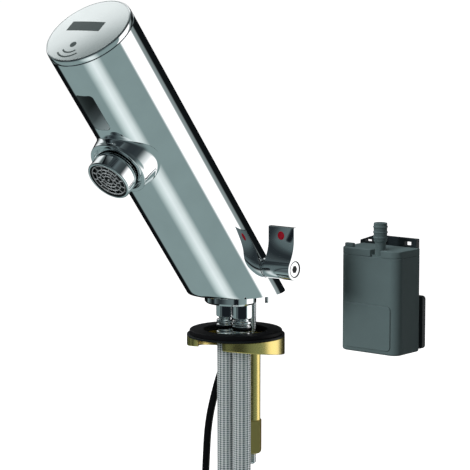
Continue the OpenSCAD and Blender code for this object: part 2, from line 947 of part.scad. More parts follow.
// Lead inside the tube: out of the foot plate, round behind the valve and up to the carrier
module inner_lead() {
    clear = valve_r + lead_r + over;
    behind = cable_y - pivot_y;
    above = plate_top + lead_r - pivot_z;
    first = atan2(above * cos(lean) - behind * sin(lean), behind * cos(lean) + above * sin(lean));
    start = [[0, cable_y, plate_top], [0, cable_y, plate_top + lead_r]];
    around = [for (i = [1:lead_steps]) let (a = first * (1 - i / lead_steps))
        tube_point(pivot_back + clear * cos(a), pivot_along + clear * sin(a))];
    up = [for (s = [pivot_along + clear, block_from, (block_from + board_mid) / 2,
        board_mid - carrier_h / 2]) tube_point(lead_y, s)];
    color("black") soft_tube(concat(start, around, up), lead_r, 8);
}

// Crimped ferrule under the foot plate, with a waist
module ferrule(side) {
    waist_top = ferrule_top - ferrule_upper;
    waist_bottom = waist_top - waist_h;
    color("silver") translate([side * hose_x, hose_y, 0]) {
        bar(port_r, ferrule_top, ferrule_top + port_depth - fit);
        rotate_extrude() polygon([
            [0, hose_top], [ferrule_r - ferrule_round, hose_top],
            [ferrule_r, hose_top + ferrule_round],
            [ferrule_r, waist_bottom], [ferrule_r - ferrule_waist, waist_bottom],
            [ferrule_r - ferrule_waist, waist_top], [ferrule_r, waist_top],
            [ferrule_r, ferrule_top], [0, ferrule_top]]);
    }
}

module ferrule_hot() { ferrule(hot_side); }
module ferrule_cold() { ferrule(cold_side); }

// Braided hose as a smooth soft tube
module hose(side) {
    route = [for (p = HOSE_ROUTE) [side * (hose_x + p[0]), hose_y, p[1]]];
    color("darkgray") soft_tube(route, hose_r, hose_sides);
}

module hose_hot() { hose(hot_side); }
module hose_cold() { hose(cold_side); }

// Lower end of a hose: crimp, neck and the flange that the union nut pulls up
module hose_tail(side) {
    neck_top = hose_end_z - tail_len;
    flange_top = neck_top - tail_neck_h;
    color("silver") translate([side * spread_x, hose_y, 0]) difference() {
        union() {
            bar(ferrule_r, neck_top, hose_end_z);
            bar(tail_neck_r, flange_top - tail_flange_t, neck_top + over);
            bar(tail_flange_r, flange_top - tail_flange_t, flange_top);
        }
        bar(tail_bore_r, flange_top - tail_flange_t - over, neck_top + tail_neck_h);
    }
}

module hose_tail_hot() { hose_tail(hot_side); }
module hose_tail_cold() { hose_tail(cold_side); }

// Hexagon union nut, free to turn on the neck of the hose tail
module union_nut(side) {
    top = hose_end_z - tail_len - tail_neck_h + union_top_t + fit;
    bottom = top - union_h;
    color("silver") translate([side * spread_x, hose_y, 0]) difference() {
        intersection() {
            translate([0, 0, bottom]) cylinder(r = union_r, h = union_h, $fn = 6);
            rotate_extrude() polygon([[0, bottom], [union_r - over, bottom],
                [union_r + over / 2, bottom + over], [union_r + over / 2, top - over],
                [union_r - over, top], [0, top]]);
        }
        bar(tail_neck_r + 2 * fit, bottom, top + over);
        bar(union_relief_r, top - union_top_t - union_relief_h, top - union_top_t);
        bar(union_thread_r, bottom - over, top - union_top_t - fit);
    }
}

module union_nut_hot() { union_nut(hot_side); }
module union_nut_cold() { union_nut(cold_side); }

// Flat seals with a filter bore under the flanges of the hose tails
module union_seals() {
    top = hose_end_z - tail_len - tail_neck_h - tail_flange_t;
    color("black") for (s = [hot_side, cold_side]) translate([s * spread_x, hose_y, 0])
        sleeve(tail_flange_r, tail_bore_r + over, top - union_seal_t, top);
}

// Strain relief of the signal cable under the foot plate
module cable_relief() {
    relief_bottom = CABLE_ROUTE[0][2];
    color("black") translate([0, cable_y, 0]) {
        bar(relief_r - fit, relief_bottom / 2, plate_top);
        translate([0, 0, relief_bottom])
            cylinder(r1 = cable_r + relief_grip, r2 = relief_top_r, h = -spigot_h - relief_bottom);
    }
}

module signal_cable() {
    color("black") soft_tube(CABLE_ROUTE, cable_r, cable_sides);
}

// Flat plug on the end of the signal cable
module cable_plug() {
    last = CABLE_ROUTE[len(CABLE_ROUTE) - 1];
    color("black") translate(last) {
        bar(plug_neck_r, -plug_neck_len, 0);
        translate([0, 0, -plug_neck_len - plug_len]) linear_extrude(plug_len)
            rounded_rect(plug_w, plug_d, over);
    }
}

// Rubber washer under the deck
module rubber_washer() {
    color("black") translate([0, hole_y, 0])
        sleeve(washer_r, washer_hole_r, washer_top - washer_t, washer_top);
}

// Dark steel ring between the washer and the bracket
module pressure_ring() {
    color("dimgray") translate([0, hole_y, 0])
        sleeve(ring_r, washer_hole_r + over, bracket_top, bracket_top + ring_t);
}

// Brass bracket: a horseshoe, thicker at the back, with an ear for the stud and a spot face
// under it for the sleeve
module clamp_bracket() {
    slope_drop = 2 * ring_r * tan(bracket_slope);
    color("goldenrod") difference() {
        union() {
            intersection() {
                translate([0, hole_y, 0]) difference() {
                    bar(ring_r, bracket_top - bracket_thin - slope_drop, bracket_top);
                    difference() {
                        bar(ring_r - bracket_w, bracket_top - 2 * body_r, bracket_top + over);
                        translate([-ring_r, bridge_y - hole_y, bracket_top - 2 * body_r])
                            cube([2 * ring_r, ring_r, 3 * body_r]);
                    }
                    mouth_cut();
                }
                translate([0, hole_y - ring_r, bracket_top - bracket_thin])
                    rotate([-bracket_slope, 0, 0])
                    translate([-ring_r - over, -ring_r, 0])
                    cube([2 * (ring_r + over), 4 * ring_r, 2 * body_r]);
            }
            translate([0, stud_y, 0]) bar(ear_r, ear_bottom, bracket_top);
        }
        translate([0, stud_y, 0]) {
            bar(stud_hole_r, ear_bottom - over, bracket_top + over);
            bar(sleeve_r + gap, bracket_top - 2 * body_r, ear_bottom);
        }
    }
}

// Wedge that opens the front of the horseshoe
module mouth_cut() {
    far = 2 * ring_r;
    translate([0, 0, bracket_top - 2 * body_r]) linear_extrude(3 * body_r) polygon([
        [0, 0],
        [far * cos(mouth_mid - mouth_half), far * sin(mouth_mid - mouth_half)],
        [far * cos(mouth_mid + mouth_half), far * sin(mouth_mid + mouth_half)]]);
}

// Brass sleeve with a hexagon at its lower end, threaded on the stud
module sleeve_nut() {
    hex_top = ear_bottom - fit - sleeve_len;
    bottom = hex_top - nut_len;
    color("darkgoldenrod") translate([0, stud_y, 0]) difference() {
        union() {
            bar(sleeve_r, hex_top - nut_chamfer, ear_bottom - fit);
            intersection() {
                translate([0, 0, bottom]) cylinder(r = nut_r, h = nut_len, $fn = 6);
                rotate_extrude() polygon([[0, bottom], [nut_r - nut_chamfer, bottom],
                    [nut_r + fit, bottom + nut_chamfer], [nut_r + fit, hex_top - nut_chamfer],
                    [nut_r - nut_chamfer, hex_top], [0, hex_top]]);
            }
        }
        bar(nut_bore_r, bottom - over, ear_bottom + over);
    }
}

// Case of the battery box, open at the top, with a window for the latch panel
module battery_case() {
    color("darkslategray") box_frame() difference() {
        linear_extrude(case_h) rounded_rect(box_w, box_d, box_round);
        translate([0, 0, case_floor]) linear_extrude(case_h)
            rounded_rect(inner_w, inner_d, inner_round);
        panel_window(panel_w + 2 * slack, panel_h + 2 * slack, box_wall + over);
    }
    color("darkslategray") box_frame(rib_low) linear_extrude(rib_h)
        translate([0, box_d / 2]) dovetail(0);
}

// Outline of the rib on the back of the case, larger all round by the given margin
module dovetail(margin) {
    polygon([[-rib_w / 2 - margin, 0], [rib_w / 2 + margin, 0],
        [rib_w / 2 + rib_flare + margin, wall_gap + rib_deep + margin],
        [-rib_w / 2 - rib_flare - margin, wall_gap + rib_deep + margin]]);
}

// Prism of the latch panel, from the front face inwards
module panel_window(w, h, depth) {
    translate([0, depth - box_d / 2, case_floor + over + panel_h / 2]) rotate([90, 0, 0])
        linear_extrude(depth + over) rounded_rect(w, h, panel_round);
}

// Latch panel low on the front, pressed in to free the case
module latch_panel() {
    color("darkslategray") box_frame() difference() {
        panel_window(panel_w, panel_h, panel_t - panel_proud);
        translate([-box_w, -box_d / 2 - panel_proud - body_d, -over])
            cube([2 * box_w, body_d, box_h]);
    }
}

// Leaf spring between the latch panel and the battery
module latch_spring() {
    depth = (box_d - battery_d) / 2 - panel_t + panel_proud;
    color("gray") box_frame()
        translate([-latch_leaf_w / 2, panel_t - panel_proud - box_d / 2, case_floor + panel_h / 2])
        cube([latch_leaf_w, depth, latch_leaf_t]);
}

module battery() {
    color("dimgray") box_frame() translate([0, 0, case_floor + gap])
        linear_extrude(battery_h) rounded_rect(battery_w, battery_d, battery_round);
}

// Two contact springs on top of the battery
module battery_contacts() {
    color("gold") box_frame() for (s = [-1, 1])
        translate([s * contact_x - contact_w / 2, -contact_w / 2,
            case_floor + gap + battery_h]) difference() {
            cube([contact_w, contact_w, contact_h]);
            translate([contact_t, -over, contact_t])
                cube([contact_w, contact_w + 2 * over, contact_h - 2 * contact_t]);
        }
}

// Lid with a skirt inside the case and a notch for the neck of the conduit spout
module case_lid() {
    color("darkslategray") box_frame() difference() {
        union() {
            translate([0, 0, case_h]) linear_extrude(lid_h)
                rounded_rect(box_w, box_d, box_round);
            translate([0, 0, case_h - lid_skirt_h]) linear_extrude(lid_skirt_h)
                rounded_rect(inner_w - 2 * slack, inner_d - 2 * slack, inner_round - slack);
            translate([nub_x - nub_w / 2, nub_y - nub_d / 2, box_h - lid_t])
                cube([nub_w, nub_d, nub_h + lid_t]);
        }
        translate([0, 0, case_h - lid_skirt_h - over])
            linear_extrude(lid_skirt_h + over + lid_h - lid_t)
            rounded_rect(inner_w - 2 * lid_skirt_t, inner_d - 2 * lid_skirt_t,
                inner_round - lid_skirt_t);
        translate([conduit_x, conduit_y, 0])
            bar(conduit_neck_r + fit, case_h - lid_skirt_h - over, box_h + over);
        translate([conduit_x - notch_w / 2, -box_d, case_h])
            cube([notch_w, box_d + conduit_y, lid_h + over]);
    }
}

module lid_seal() {
    color("black") box_frame(case_h - lid_skirt_h - gap) difference() {
        linear_extrude(gap) rounded_rect(inner_w - 2 * fit, inner_d - 2 * fit, inner_round);
        translate([0, 0, -over]) linear_extrude(gap + 2 * over)
            rounded_rect(inner_w - 2 * lid_skirt_t, inner_d - 2 * lid_skirt_t,
                inner_round - lid_skirt_t);
    }
}

// Barbed spout on the lid for the cable conduit
module conduit_spout() {
    ribs = [for (i = [0:barb_count - 1]) barb_first + i * barb_pitch];
    color("darkslategray") box_frame(box_h) translate([conduit_x, conduit_y, 0]) difference() {
        union() {
            bar(conduit_neck_r, -lid_h, barb_first - over);
            bar(conduit_r - barb_rib, barb_first - over, conduit_h);
            for (z = ribs) translate([0, 0, z])
                cylinder(r1 = conduit_r, r2 = conduit_r - barb_rib, h = barb_pitch / 2);
        }
        bar(conduit_bore_r, -lid_h - over, conduit_h + over);
    }
}

// Bracket screwed to the wall: wide cradle below, plate with a dovetail groove, ears on top
module wall_bracket() {
    back = box_d / 2 + wall_gap;
    color("black") box_frame() difference() {
        translate([0, back + back_plate_t, 0]) rotate([90, 0, 0]) linear_extrude(back_plate_t)
            difference() {
                union() {
                    translate([0, case_floor + cradle_h / 2])
                        rounded_rect(cradle_w, cradle_h, cradle_round);
                    translate([-back_plate_w / 2, case_floor])
                        square([back_plate_w, box_h - case_floor]);
                    translate([ear_x, box_h]) polygon([[-ear_w / 2, -ear_h], [ear_w / 2, -ear_h],
                        [ear_w / 2, ear_up], [ear_cut - ear_w / 2, ear_up],
                        [-ear_w / 2, ear_low]]);
                }
                for (slot = [[-ear_slot_x, ear_slot_left_h], [ear_slot_x, ear_slot_right_h]])
                    translate([ear_x + slot[0] - ear_slot_w / 2, box_h + ear_slot_up])
                    square([ear_slot_w, slot[1]]);
            }
        translate([0, box_d / 2, rib_low - slack]) linear_extrude(box_h + ear_up)
            dovetail(slack);
        for (s = [-1, 1]) translate([s * screw_pitch / 2, back, screw_up])
            rotate([-90, 0, 0]) bar(screw_hole_r, -over, back_plate_t + over);
    }
}

body_shell();
top_cap();
cap_face();
cap_seal();
sensor_symbol();
blank_plate();
sensor_window();
sensor_housing();
sensor_eyes();
circuit_board();
board_carrier();
spout_collar();
aerator_housing();
aerator_insert();
aerator_seal();
spout_elbow();
outlet_pipe();
solenoid_block();
solenoid_coil();
solenoid_plunger();
plunger_spring();
magnet_core();
riser_pipe();
mixing_valve();
mixing_spindle();
lever_bush();
mixing_lever();
lever_screw();
hot_marker();
foot_plate();
foot_gasket();
anti_twist_pin();
fixing_stud();
inner_lead();
ferrule_hot();
ferrule_cold();
hose_hot();
hose_cold();
hose_tail_hot();
hose_tail_cold();
union_nut_hot();
union_nut_cold();
union_seals();
cable_relief();
signal_cable();
cable_plug();
rubber_washer();
pressure_ring();
clamp_bracket();
sleeve_nut();
battery_case();
battery();
battery_contacts();
case_lid();
lid_seal();
conduit_spout();
latch_panel();
latch_spring();
wall_bracket();
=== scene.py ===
"""Leaning chrome sensor mixer tap with its mixing lever, hoses, deck clamp and battery box.

Metres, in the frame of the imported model: +Z up, +X the user's right, the spout looks to -Y,
and the origin is the middle of the flat foot. Every new piece is a surface worked out on a
grid of two parameters, put in place in its own mesh, with its object at the origin.
"""

import json
import math

import bmesh
import bpy
import numpy as np
from mathutils import Matrix, Vector


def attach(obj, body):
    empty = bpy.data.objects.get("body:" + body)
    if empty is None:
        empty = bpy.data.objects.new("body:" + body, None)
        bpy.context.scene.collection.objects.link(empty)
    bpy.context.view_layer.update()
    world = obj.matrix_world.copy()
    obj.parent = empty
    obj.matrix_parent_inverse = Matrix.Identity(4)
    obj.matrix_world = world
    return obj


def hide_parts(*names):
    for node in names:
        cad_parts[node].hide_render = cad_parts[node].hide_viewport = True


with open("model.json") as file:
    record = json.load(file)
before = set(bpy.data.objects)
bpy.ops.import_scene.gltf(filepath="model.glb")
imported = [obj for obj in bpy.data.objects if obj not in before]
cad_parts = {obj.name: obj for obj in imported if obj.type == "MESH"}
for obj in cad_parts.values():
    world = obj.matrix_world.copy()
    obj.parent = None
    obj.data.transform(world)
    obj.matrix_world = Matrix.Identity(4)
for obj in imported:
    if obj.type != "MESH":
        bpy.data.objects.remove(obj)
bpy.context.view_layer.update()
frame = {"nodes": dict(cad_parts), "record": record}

# Driving sizes, the same as in the part's source
LEAN = math.radians(38.7)
TUBE_R = 0.025
TUBE_LEN = 0.1945
TUBE_WALL = 0.003
FOOT_T = 0.006
HEEL_INSET = 0.0035
HEEL_SLOPE = 1.68
SIDE_MARGIN = 0.0005
CAP_H = 0.0032
CAP_RIM = 0.0012
CAP_PLUG = 0.006
FACE_T = 0.0008
SPOUT_AT = 0.1254
COLLAR_R = 0.0171
COLLAR_FLARE = 0.0016
COLLAR_REACH = 0.0295
RECESS_R = 0.0149
RECESS_DEPTH = 0.0035
AERATOR_R = 0.0129
AERATOR_REACH = 0.0393
CUP_WALL = 0.0013
NECK_R = 0.0114
NECK_BORE_R = 0.0094
WINDOW_AT = 0.1616
WINDOW_W = 0.0116
WINDOW_H = 0.024
WINDOW_ROUND = 0.0022
WINDOW_T = 0.0014
SLACK = 0.00015
PIVOT = (0.0, -0.0018153, 0.0173)
BOSS_R = 0.0063
BLADE_H = 0.0238
BLADE_T = 0.0027
LEVER_START = 0.0256
LEVER_W = 0.0182
FLANK_TO = 0.016
FLANK_FROM_SHARE = 0.58
FLANK_WIDTH_SHARE = 0.84
SCREW_R = 0.0043
SCREW_RECESS = 0.0003
HEX_R = 0.00225
MARKER_R = 0.0024
MARKER_UP = 0.0187
SPIGOT_R = 0.015
SPIGOT_Y = -0.006
SPIGOT_CUT_R = 0.0182
SPIGOT_H = 0.0058
HOLE_Y = -0.001
GASKET_R = 0.0235
GASKET_W = 0.002
GASKET_T = 0.0012
STUD_Y = 0.0133
STUD_R = 0.00295
STUD_LEN = 0.104
HOSE_X = 0.006
HOSE_Y = -0.0027
HOSE_R = 0.0053
HOSE_TOP = -0.024
FERRULE_R = 0.0057
CABLE_R = 0.0022
DECK_T = 0.0214
WASHER_R = 0.0269
WASHER_HOLE_R = 0.0184
WASHER_T = 0.0026
RING_R = 0.0284
RING_HOLE_R = 0.0194
RING_T = 0.0012
BRACKET_W = 0.0066
BRACKET_THIN = 0.0043
BRACKET_SLOPE = math.radians(8.4)
MOUTH_MID = math.radians(264)
MOUTH_HALF = math.radians(27.5)
BRIDGE_Y = 0.0122
STUD_EAR_R = 0.0056
STUD_EAR_H = 0.0108
SLEEVE_R = 0.0054
SLEEVE_LEN = 0.0413
NUT_R = 0.0065
NUT_LEN = 0.0199
BOX_AT = (0.0614, 0.0555, -0.0352)
BOX_W = 0.041
BOX_D = 0.023
BOX_H = 0.0605
BOX_ROUND = 0.0055
BACK_ROUND = 0.001
BOX_WALL = 0.0012
BOX_BASE = 0.0016
LID_H = 0.004
PANEL_W = 0.032
PANEL_H = 0.026
PANEL_ROUND = 0.0025
PANEL_LOW = 0.0026
PANEL_PROUD = 0.0005
CONDUIT_X = 0.005
CONDUIT_Y = -0.0065
CONDUIT_R = 0.0043
CONDUIT_H = 0.0155
NOTCH_W = 0.007

WASHER_TOP = -DECK_T
RING_TOP = WASHER_TOP - WASHER_T
BRACKET_TOP = RING_TOP - RING_T
EAR_BOTTOM = BRACKET_TOP - STUD_EAR_H
FACE_R = TUBE_R - CAP_RIM
CAP_TOP = TUBE_LEN + CAP_H
RECESS_FLOOR = COLLAR_REACH - RECESS_DEPTH
LEVER_END = LEVER_START + LEVER_W

AXIS = np.array([0.0, -math.sin(LEAN), math.cos(LEAN)])
FRONT = np.array([0.0, -math.cos(LEAN), -math.sin(LEAN)])
RIGHT = np.array([1.0, 0.0, 0.0])

# Camera at the photo's viewing angle
VIEW_BACK = np.array([0.62816, -0.76680, 0.13202])
VIEW_RIGHT = np.array([0.77357, 0.63371, 0.0])
VIEW_UP = np.array([-0.08366, 0.10213, 0.99125])
CAMERA_AT = (0.7794, -0.9532, 0.1971)
LENS_MM = 165.03


def make_camera():
    """Square-frame camera: its own axes are the view's right, up and back directions."""
    camera = bpy.data.objects.new("camera", bpy.data.cameras.new("camera"))
    camera.data.sensor_width = 36
    camera.data.lens = LENS_MM
    camera.data.clip_end = 100
    turn = Matrix([VIEW_RIGHT, VIEW_UP, VIEW_BACK]).transposed().to_4x4()
    camera.matrix_world = Matrix.Translation(CAMERA_AT) @ turn
    bpy.context.scene.collection.objects.link(camera)
    bpy.context.scene.camera = camera


make_camera()


# Places: each local frame has an origin and three directions in the model's frame
def place(origin, x, y, z):
    """The frame whose local x, y and z run along the given directions from the origin."""
    return np.array(origin, float), np.array([x, y, z], float)


def upright_place(x, y, z=0.0):
    """An upright frame at that point."""
    return place((x, y, z), (1, 0, 0), (0, 1, 0), (0, 0, 1))


LEAN_PLACE = place((0, 0, 0), RIGHT, -FRONT, AXIS)
SPOUT_PLACE = place(SPOUT_AT * AXIS, RIGHT, AXIS, FRONT)
LEVER_PLACE = place(PIVOT, (0, 1, 0), (0, 0, 1), (1, 0, 0))
HOLE_PLACE = upright_place(0, HOLE_Y)
STUD_PLACE = upright_place(0, STUD_Y)
BOX_PLACE = upright_place(*BOX_AT)


def put(points, where):
    """Local points carried into the model's frame: origin plus points times directions."""
    origin, axes = where
    return origin + points.reshape(-1, 3) @ axes


def unit(v):
    """The vector of length one in the direction of v, or of each row of v."""
    return v / np.linalg.norm(v, axis=-1, keepdims=True)


# Node materials
def wire(tree, node, inputs):
    """Sets a node's inputs: a socket is linked to it, anything else becomes its value."""
    for name, value in inputs.items():
        if isinstance(value, bpy.types.NodeSocket):
            tree.links.new(value, node.inputs[name])
        else:
            node.inputs[name].default_value = value


def add(tree, kind, inputs, output=0, **settings):
    """A new node with its settings and inputs; returns one of its output sockets."""
    node = tree.nodes.new("ShaderNode" + kind)
    for name, value in settings.items():
        setattr(node, name, value)
    wire(tree, node, inputs)
    return node.outputs[output]


def shader(name):
    """A new material, its tree, its Principled shader and its Object coordinates."""
    material = bpy.data.materials.new(name)
    material.use_nodes = True
    tree = material.node_tree
    return material, tree, tree.nodes["Principled BSDF"], add(tree, "TexCoord", {}, "Object")


def noise(tree, vector, scale, detail=2.0):
    """Noise texture over a vector; returns its value socket."""
    return add(tree, "TexNoise", {"Vector": vector, "Scale": scale, "Detail": detail}, "Fac")


def dot(tree, vector, direction):
    """Dot product of a vector socket and a fixed direction."""
    return add(tree, "VectorMath", {0: vector, 1: tuple(direction)}, "Value",
               operation="DOT_PRODUCT")


def ramp(tree, value, stops):
    """Colour ramp with stops (position, colour); returns its colour socket."""
    node = tree.nodes.new("ShaderNodeValToRGB")
    elements = node.color_ramp.elements
    while len(elements) < len(stops):
        elements.new(1.0)
    for element, (position, colour) in zip(elements, stops):
        element.position = position
        element.color = (*colour, 1)
    tree.links.new(value, node.inputs["Fac"])
    return node.outputs["Color"]


def span(tree, value, low, high):
    """Map Range node from 0..1 to low..high; returns its value socket."""
    return add(tree, "MapRange", {"Value": value, "To Min": low, "To Max": high}, "Result")


def share(tree, value, low, high, kind="LINEAR"):
    """Map Range node from low..high to 0..1; returns its value socket."""
    return add(tree, "MapRange", {"Value": value, "From Min": low, "From Max": high}, "Result",
               interpolation_type=kind)


def metal(name, colour, rough, grain=(1, 1, 1), grain_scale=900.0, rough_spread=0.03,
          blotch_scale=60.0, contrast=0.93):
    """Metal whose roughness varies with a stretched noise and its colour with a coarse one."""
    material, tree, bsdf, coords = shader(name)
    stretched = add(tree, "Mapping", {"Vector": coords, "Scale": grain}, "Vector")
    dark = tuple(c * contrast for c in colour)
    wire(tree, bsdf, {
        "Metallic": 1.0,
        "Roughness": span(tree, noise(tree, stretched, grain_scale, 3.0),
                          max(0.0, rough - rough_spread), rough + rough_spread),
        "Base Color": ramp(tree, noise(tree, coords, blotch_scale, 3.0),
                           [(0.3, dark), (0.7, colour)])})
    return material


def plastic(name, colour, rough, grain_scale=1500.0, bump_distance=0.00004, contrast=0.85,
            specular=0.5, rough_spread=0.05, blotch_scale=80.0):
    """Moulded plastic or rubber: slightly mottled colour and a fine grained surface."""
    material, tree, bsdf, coords = shader(name)
    field = noise(tree, coords, grain_scale)
    dark = tuple(c * contrast for c in colour)
    wire(tree, bsdf, {
        "Specular IOR Level": specular,
        "Base Color": ramp(tree, noise(tree, coords, blotch_scale, 3.0),
                           [(0.35, dark), (0.65, colour)]),
        "Roughness": span(tree, field, rough - rough_spread, rough + rough_spread),
        "Normal": add(tree, "Bump", {"Height": field, "Distance": bump_distance,
                                     "Strength": 1.0}, "Normal")})
    return material


def wire_braid():
    """Braid of bright steel wire whose colour follows its height attribute: painted shade makes
    it nearly black in the gaps, and a painted highlight makes the crests white.
    """
    material, tree, bsdf, coords = shader("steel wire braid")
    height = add(tree, "Attribute", {}, "Fac", attribute_name="height")
    # Painted shade in the gaps between the wires and a painted highlight on their crests
    wire(tree, bsdf, {
        "Metallic": 0.45,
        "Base Color": ramp(tree, share(tree, height, -1.0, 1.0),
                           [(0.05, (0.05, 0.065, 0.07)), (0.34, (0.3, 0.35, 0.36)),
                            (0.55, (0.8, 0.87, 0.88)), (0.8, (1.0, 1.0, 1.0))]),
        "Roughness": span(tree, noise(tree, coords, 3000.0), 0.3, 0.42)})
    return material


def window_glass():
    """Dark infrared glass: near black above and lighter towards its lower right corner, a
    painted reflection that follows the way across and down the pane."""
    material, tree, bsdf, coords = shader("dark window glass")
    direction = unit(0.75 * RIGHT - AXIS)
    middle = float((WINDOW_AT * AXIS + TUBE_R * FRONT) @ direction)
    way = share(tree, dot(tree, coords, direction), middle - 0.011, middle + 0.012)
    # Painted reflection: the base colour grows lighter across and down the pane
    wire(tree, bsdf, {
        "Specular IOR Level": 0.25,
        "Roughness": span(tree, noise(tree, coords, 900.0), 0.05, 0.09),
        "Base Color": ramp(tree, way, [
            (0.0, (0.001, 0.001, 0.0015)), (0.36, (0.003, 0.004, 0.005)),
            (0.62, (0.06, 0.075, 0.08)), (0.8, (0.24, 0.3, 0.31)), (1.0, (0.45, 0.54, 0.55))])})
    return material


# The material of each slot in the record
MATERIALS = {
    "chrome": metal("polished chrome", (0.84, 0.85, 0.86), 0.02, rough_spread=0.012),
    "satin_chrome": metal("satin chrome", (0.86, 0.88, 0.88), 0.19, grain_scale=2500.0),
    "brass": metal("machined brass", (0.78, 0.62, 0.22), 0.27, (1, 1, 14), 700.0, 0.07),
    "dark_brass": metal("dull brass", (0.55, 0.42, 0.15), 0.42, rough_spread=0.08),
    "steel": metal("zinc plated steel", (0.62, 0.64, 0.65), 0.22, rough_spread=0.08),
    "copper": metal("drawn copper", (0.72, 0.40, 0.26), 0.25),
    "braid": wire_braid(),
    "dark_window": window_glass(),
    "black_rubber": plastic("black rubber", (0.007, 0.007, 0.008), 0.55, 900.0, 0.00003,
                            specular=0.1),
    "cable_sheath": plastic("cable sheath", (0.004, 0.004, 0.005), 0.42, 600.0, 0.00002,
                            specular=0.12),
    "black_plastic": plastic("black plastic", (0.01, 0.012, 0.013), 0.4, specular=0.15),
    "box_plastic": plastic("grey green plastic", (0.112, 0.158, 0.162), 0.55, 2200.0, 0.00003,
                           0.95, 0.12),
    "valve_plastic": plastic("valve plastic", (0.62, 0.56, 0.46), 0.45),
    "mesh_plastic": plastic("mesh plastic", (0.38, 0.41, 0.42), 0.35),
    "battery_skin": plastic("battery skin", (0.1, 0.11, 0.12), 0.35),
    "board": plastic("board lacquer", (0.02, 0.12, 0.05), 0.3),
    "red_enamel": plastic("red enamel", (0.42, 0.004, 0.02), 0.2, 400.0, 0.00001),
    "dark_print": plastic("dark print", (0.024, 0.038, 0.038), 0.35, 900.0, 0.00001),
}
BRACKET_PLASTIC = plastic("dark grey plastic", (0.02, 0.028, 0.032), 0.5, 2200.0, 0.00003,
                          specular=0.2)


def finish_nodes():
    """Gives every CAD node the material of its slot in the record."""
    for part in frame["record"]["subparts"]:
        mesh = frame["nodes"][part["node"]].data
        mesh.materials.clear()
        mesh.materials.append(MATERIALS[part["material_slot"]])


finish_nodes()

# Making a mesh from whole arrays: a shape is a pair of points and faces
MERGE = 2e-6
HOLD = 0.00003


def full_turn(sides):
    """Angles once round, evenly spaced."""
    return np.linspace(0, 2 * math.pi, sides, endpoint=False)


def around(radius, angle, height=0.0):
    """Points at radii, angles and heights about local z, the three broadcast together."""
    radius, angle, height = np.broadcast_arrays(radius, angle, height)
    return np.stack([radius * np.cos(angle), radius * np.sin(angle), height], -1)


def graded(start, *stops):
    """Values from start through the stops (value, steps), each stretch in equal steps."""
    rows = [[start]]
    for value, steps in stops:
        rows.append(np.linspace(rows[-1][-1], value, steps + 1)[1:])
    return np.concatenate(rows)


def grid_faces(nu, nv, loop_u=False, loop_v=False):
    """Quads of a grid of nu by nv points stored row by row, closed round where asked."""
    i, j = np.meshgrid(
        np.arange(nu if loop_u else nu - 1),
        np.arange(nv if loop_v else nv - 1), indexing="ij")
    i2, j2 = (i + 1) % nu, (j + 1) % nv
    return np.stack([i * nv + j, i2 * nv + j, i2 * nv + j2, i * nv + j2], -1).reshape(-1, 4)


def join(*shapes):
    """Several shapes as one."""
    points, faces, count = [], [], 0
    for p, f in shapes:
        points.append(np.asarray(p).reshape(-1, 3))
        faces += [[int(i) + count for i in face] for face in f]
        count += len(points[-1])
    return np.concatenate(points), faces


def new_mesh(name, shape):
    """A mesh with the points and faces of a shape."""
    mesh = bpy.data.meshes.new(name)
    mesh.from_pydata(np.asarray(shape[0], float).reshape(-1, 3).tolist(), [],
                     [list(map(int, f)) for f in shape[1]])
    return mesh


def piece(name, shape, slot, body, node=None, sharp=32, weighted=True, values=None,
          material=None):
    """A smooth mesh piece that stands for a node, its doubles merged and its faces outwards;
    values, one a point, are kept as its attribute named height."""
    mesh = new_mesh(name, shape)
    if values is not None:
        mesh.attributes.new("height", "FLOAT", "POINT").data.foreach_set("value", values)
    bm = bmesh.new()
    bm.from_mesh(mesh)
    bmesh.ops.remove_doubles(bm, verts=bm.verts, dist=MERGE)
    bmesh.ops.dissolve_degenerate(bm, edges=bm.edges, dist=MERGE / 4)
    return keep(name, bm, mesh, slot, body, node, sharp, weighted, material)


def keep(name, bm, mesh, slot, body, node, sharp, weighted, material):
    """Makes the mesh an object with its material, or the material of its slot, under its body,
    and hides the node it stands for; shaded smooth with edges sharp by angle."""
    bmesh.ops.recalc_face_normals(bm, faces=bm.faces)
    bm.to_mesh(mesh)
    bm.free()
    obj = bpy.data.objects.new(name, mesh)
    bpy.context.scene.collection.objects.link(obj)
    mesh.polygons.foreach_set("use_smooth", np.ones(len(mesh.polygons), bool))
    mesh.set_sharp_from_angle(angle=math.radians(sharp))
    if weighted:
        weights = obj.modifiers.new("weighted", "WEIGHTED_NORMAL")
        weights.keep_sharp = True
        weights.weight = 80
    mesh.materials.clear()
    mesh.materials.append(material or MATERIALS[slot])
    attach(obj, body)
    if node:
        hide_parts(node)
    return obj


def softened(name, node, material, body, slot, width):
    """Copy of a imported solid: its triangles merged, its flat faces joined and its sharp edges
    rounded by a bevel of that width."""
    mesh = frame["nodes"][node].data.copy()
    bm = bmesh.new()
    bm.from_mesh(mesh)
    bmesh.ops.remove_doubles(bm, verts=bm.verts, dist=MERGE)
    bmesh.ops.dissolve_limit(bm, angle_limit=math.radians(0.5), verts=bm.verts, edges=bm.edges)
    edges = [e for e in bm.edges if e.calc_face_angle(0.0) > math.radians(28)]
    bmesh.ops.bevel(bm, geom=edges, offset=width, segments=2, profile=0.5, affect="EDGES",
                    clamp_overlap=True)
    return keep(name, bm, mesh, slot, body, node, 40, True, material)


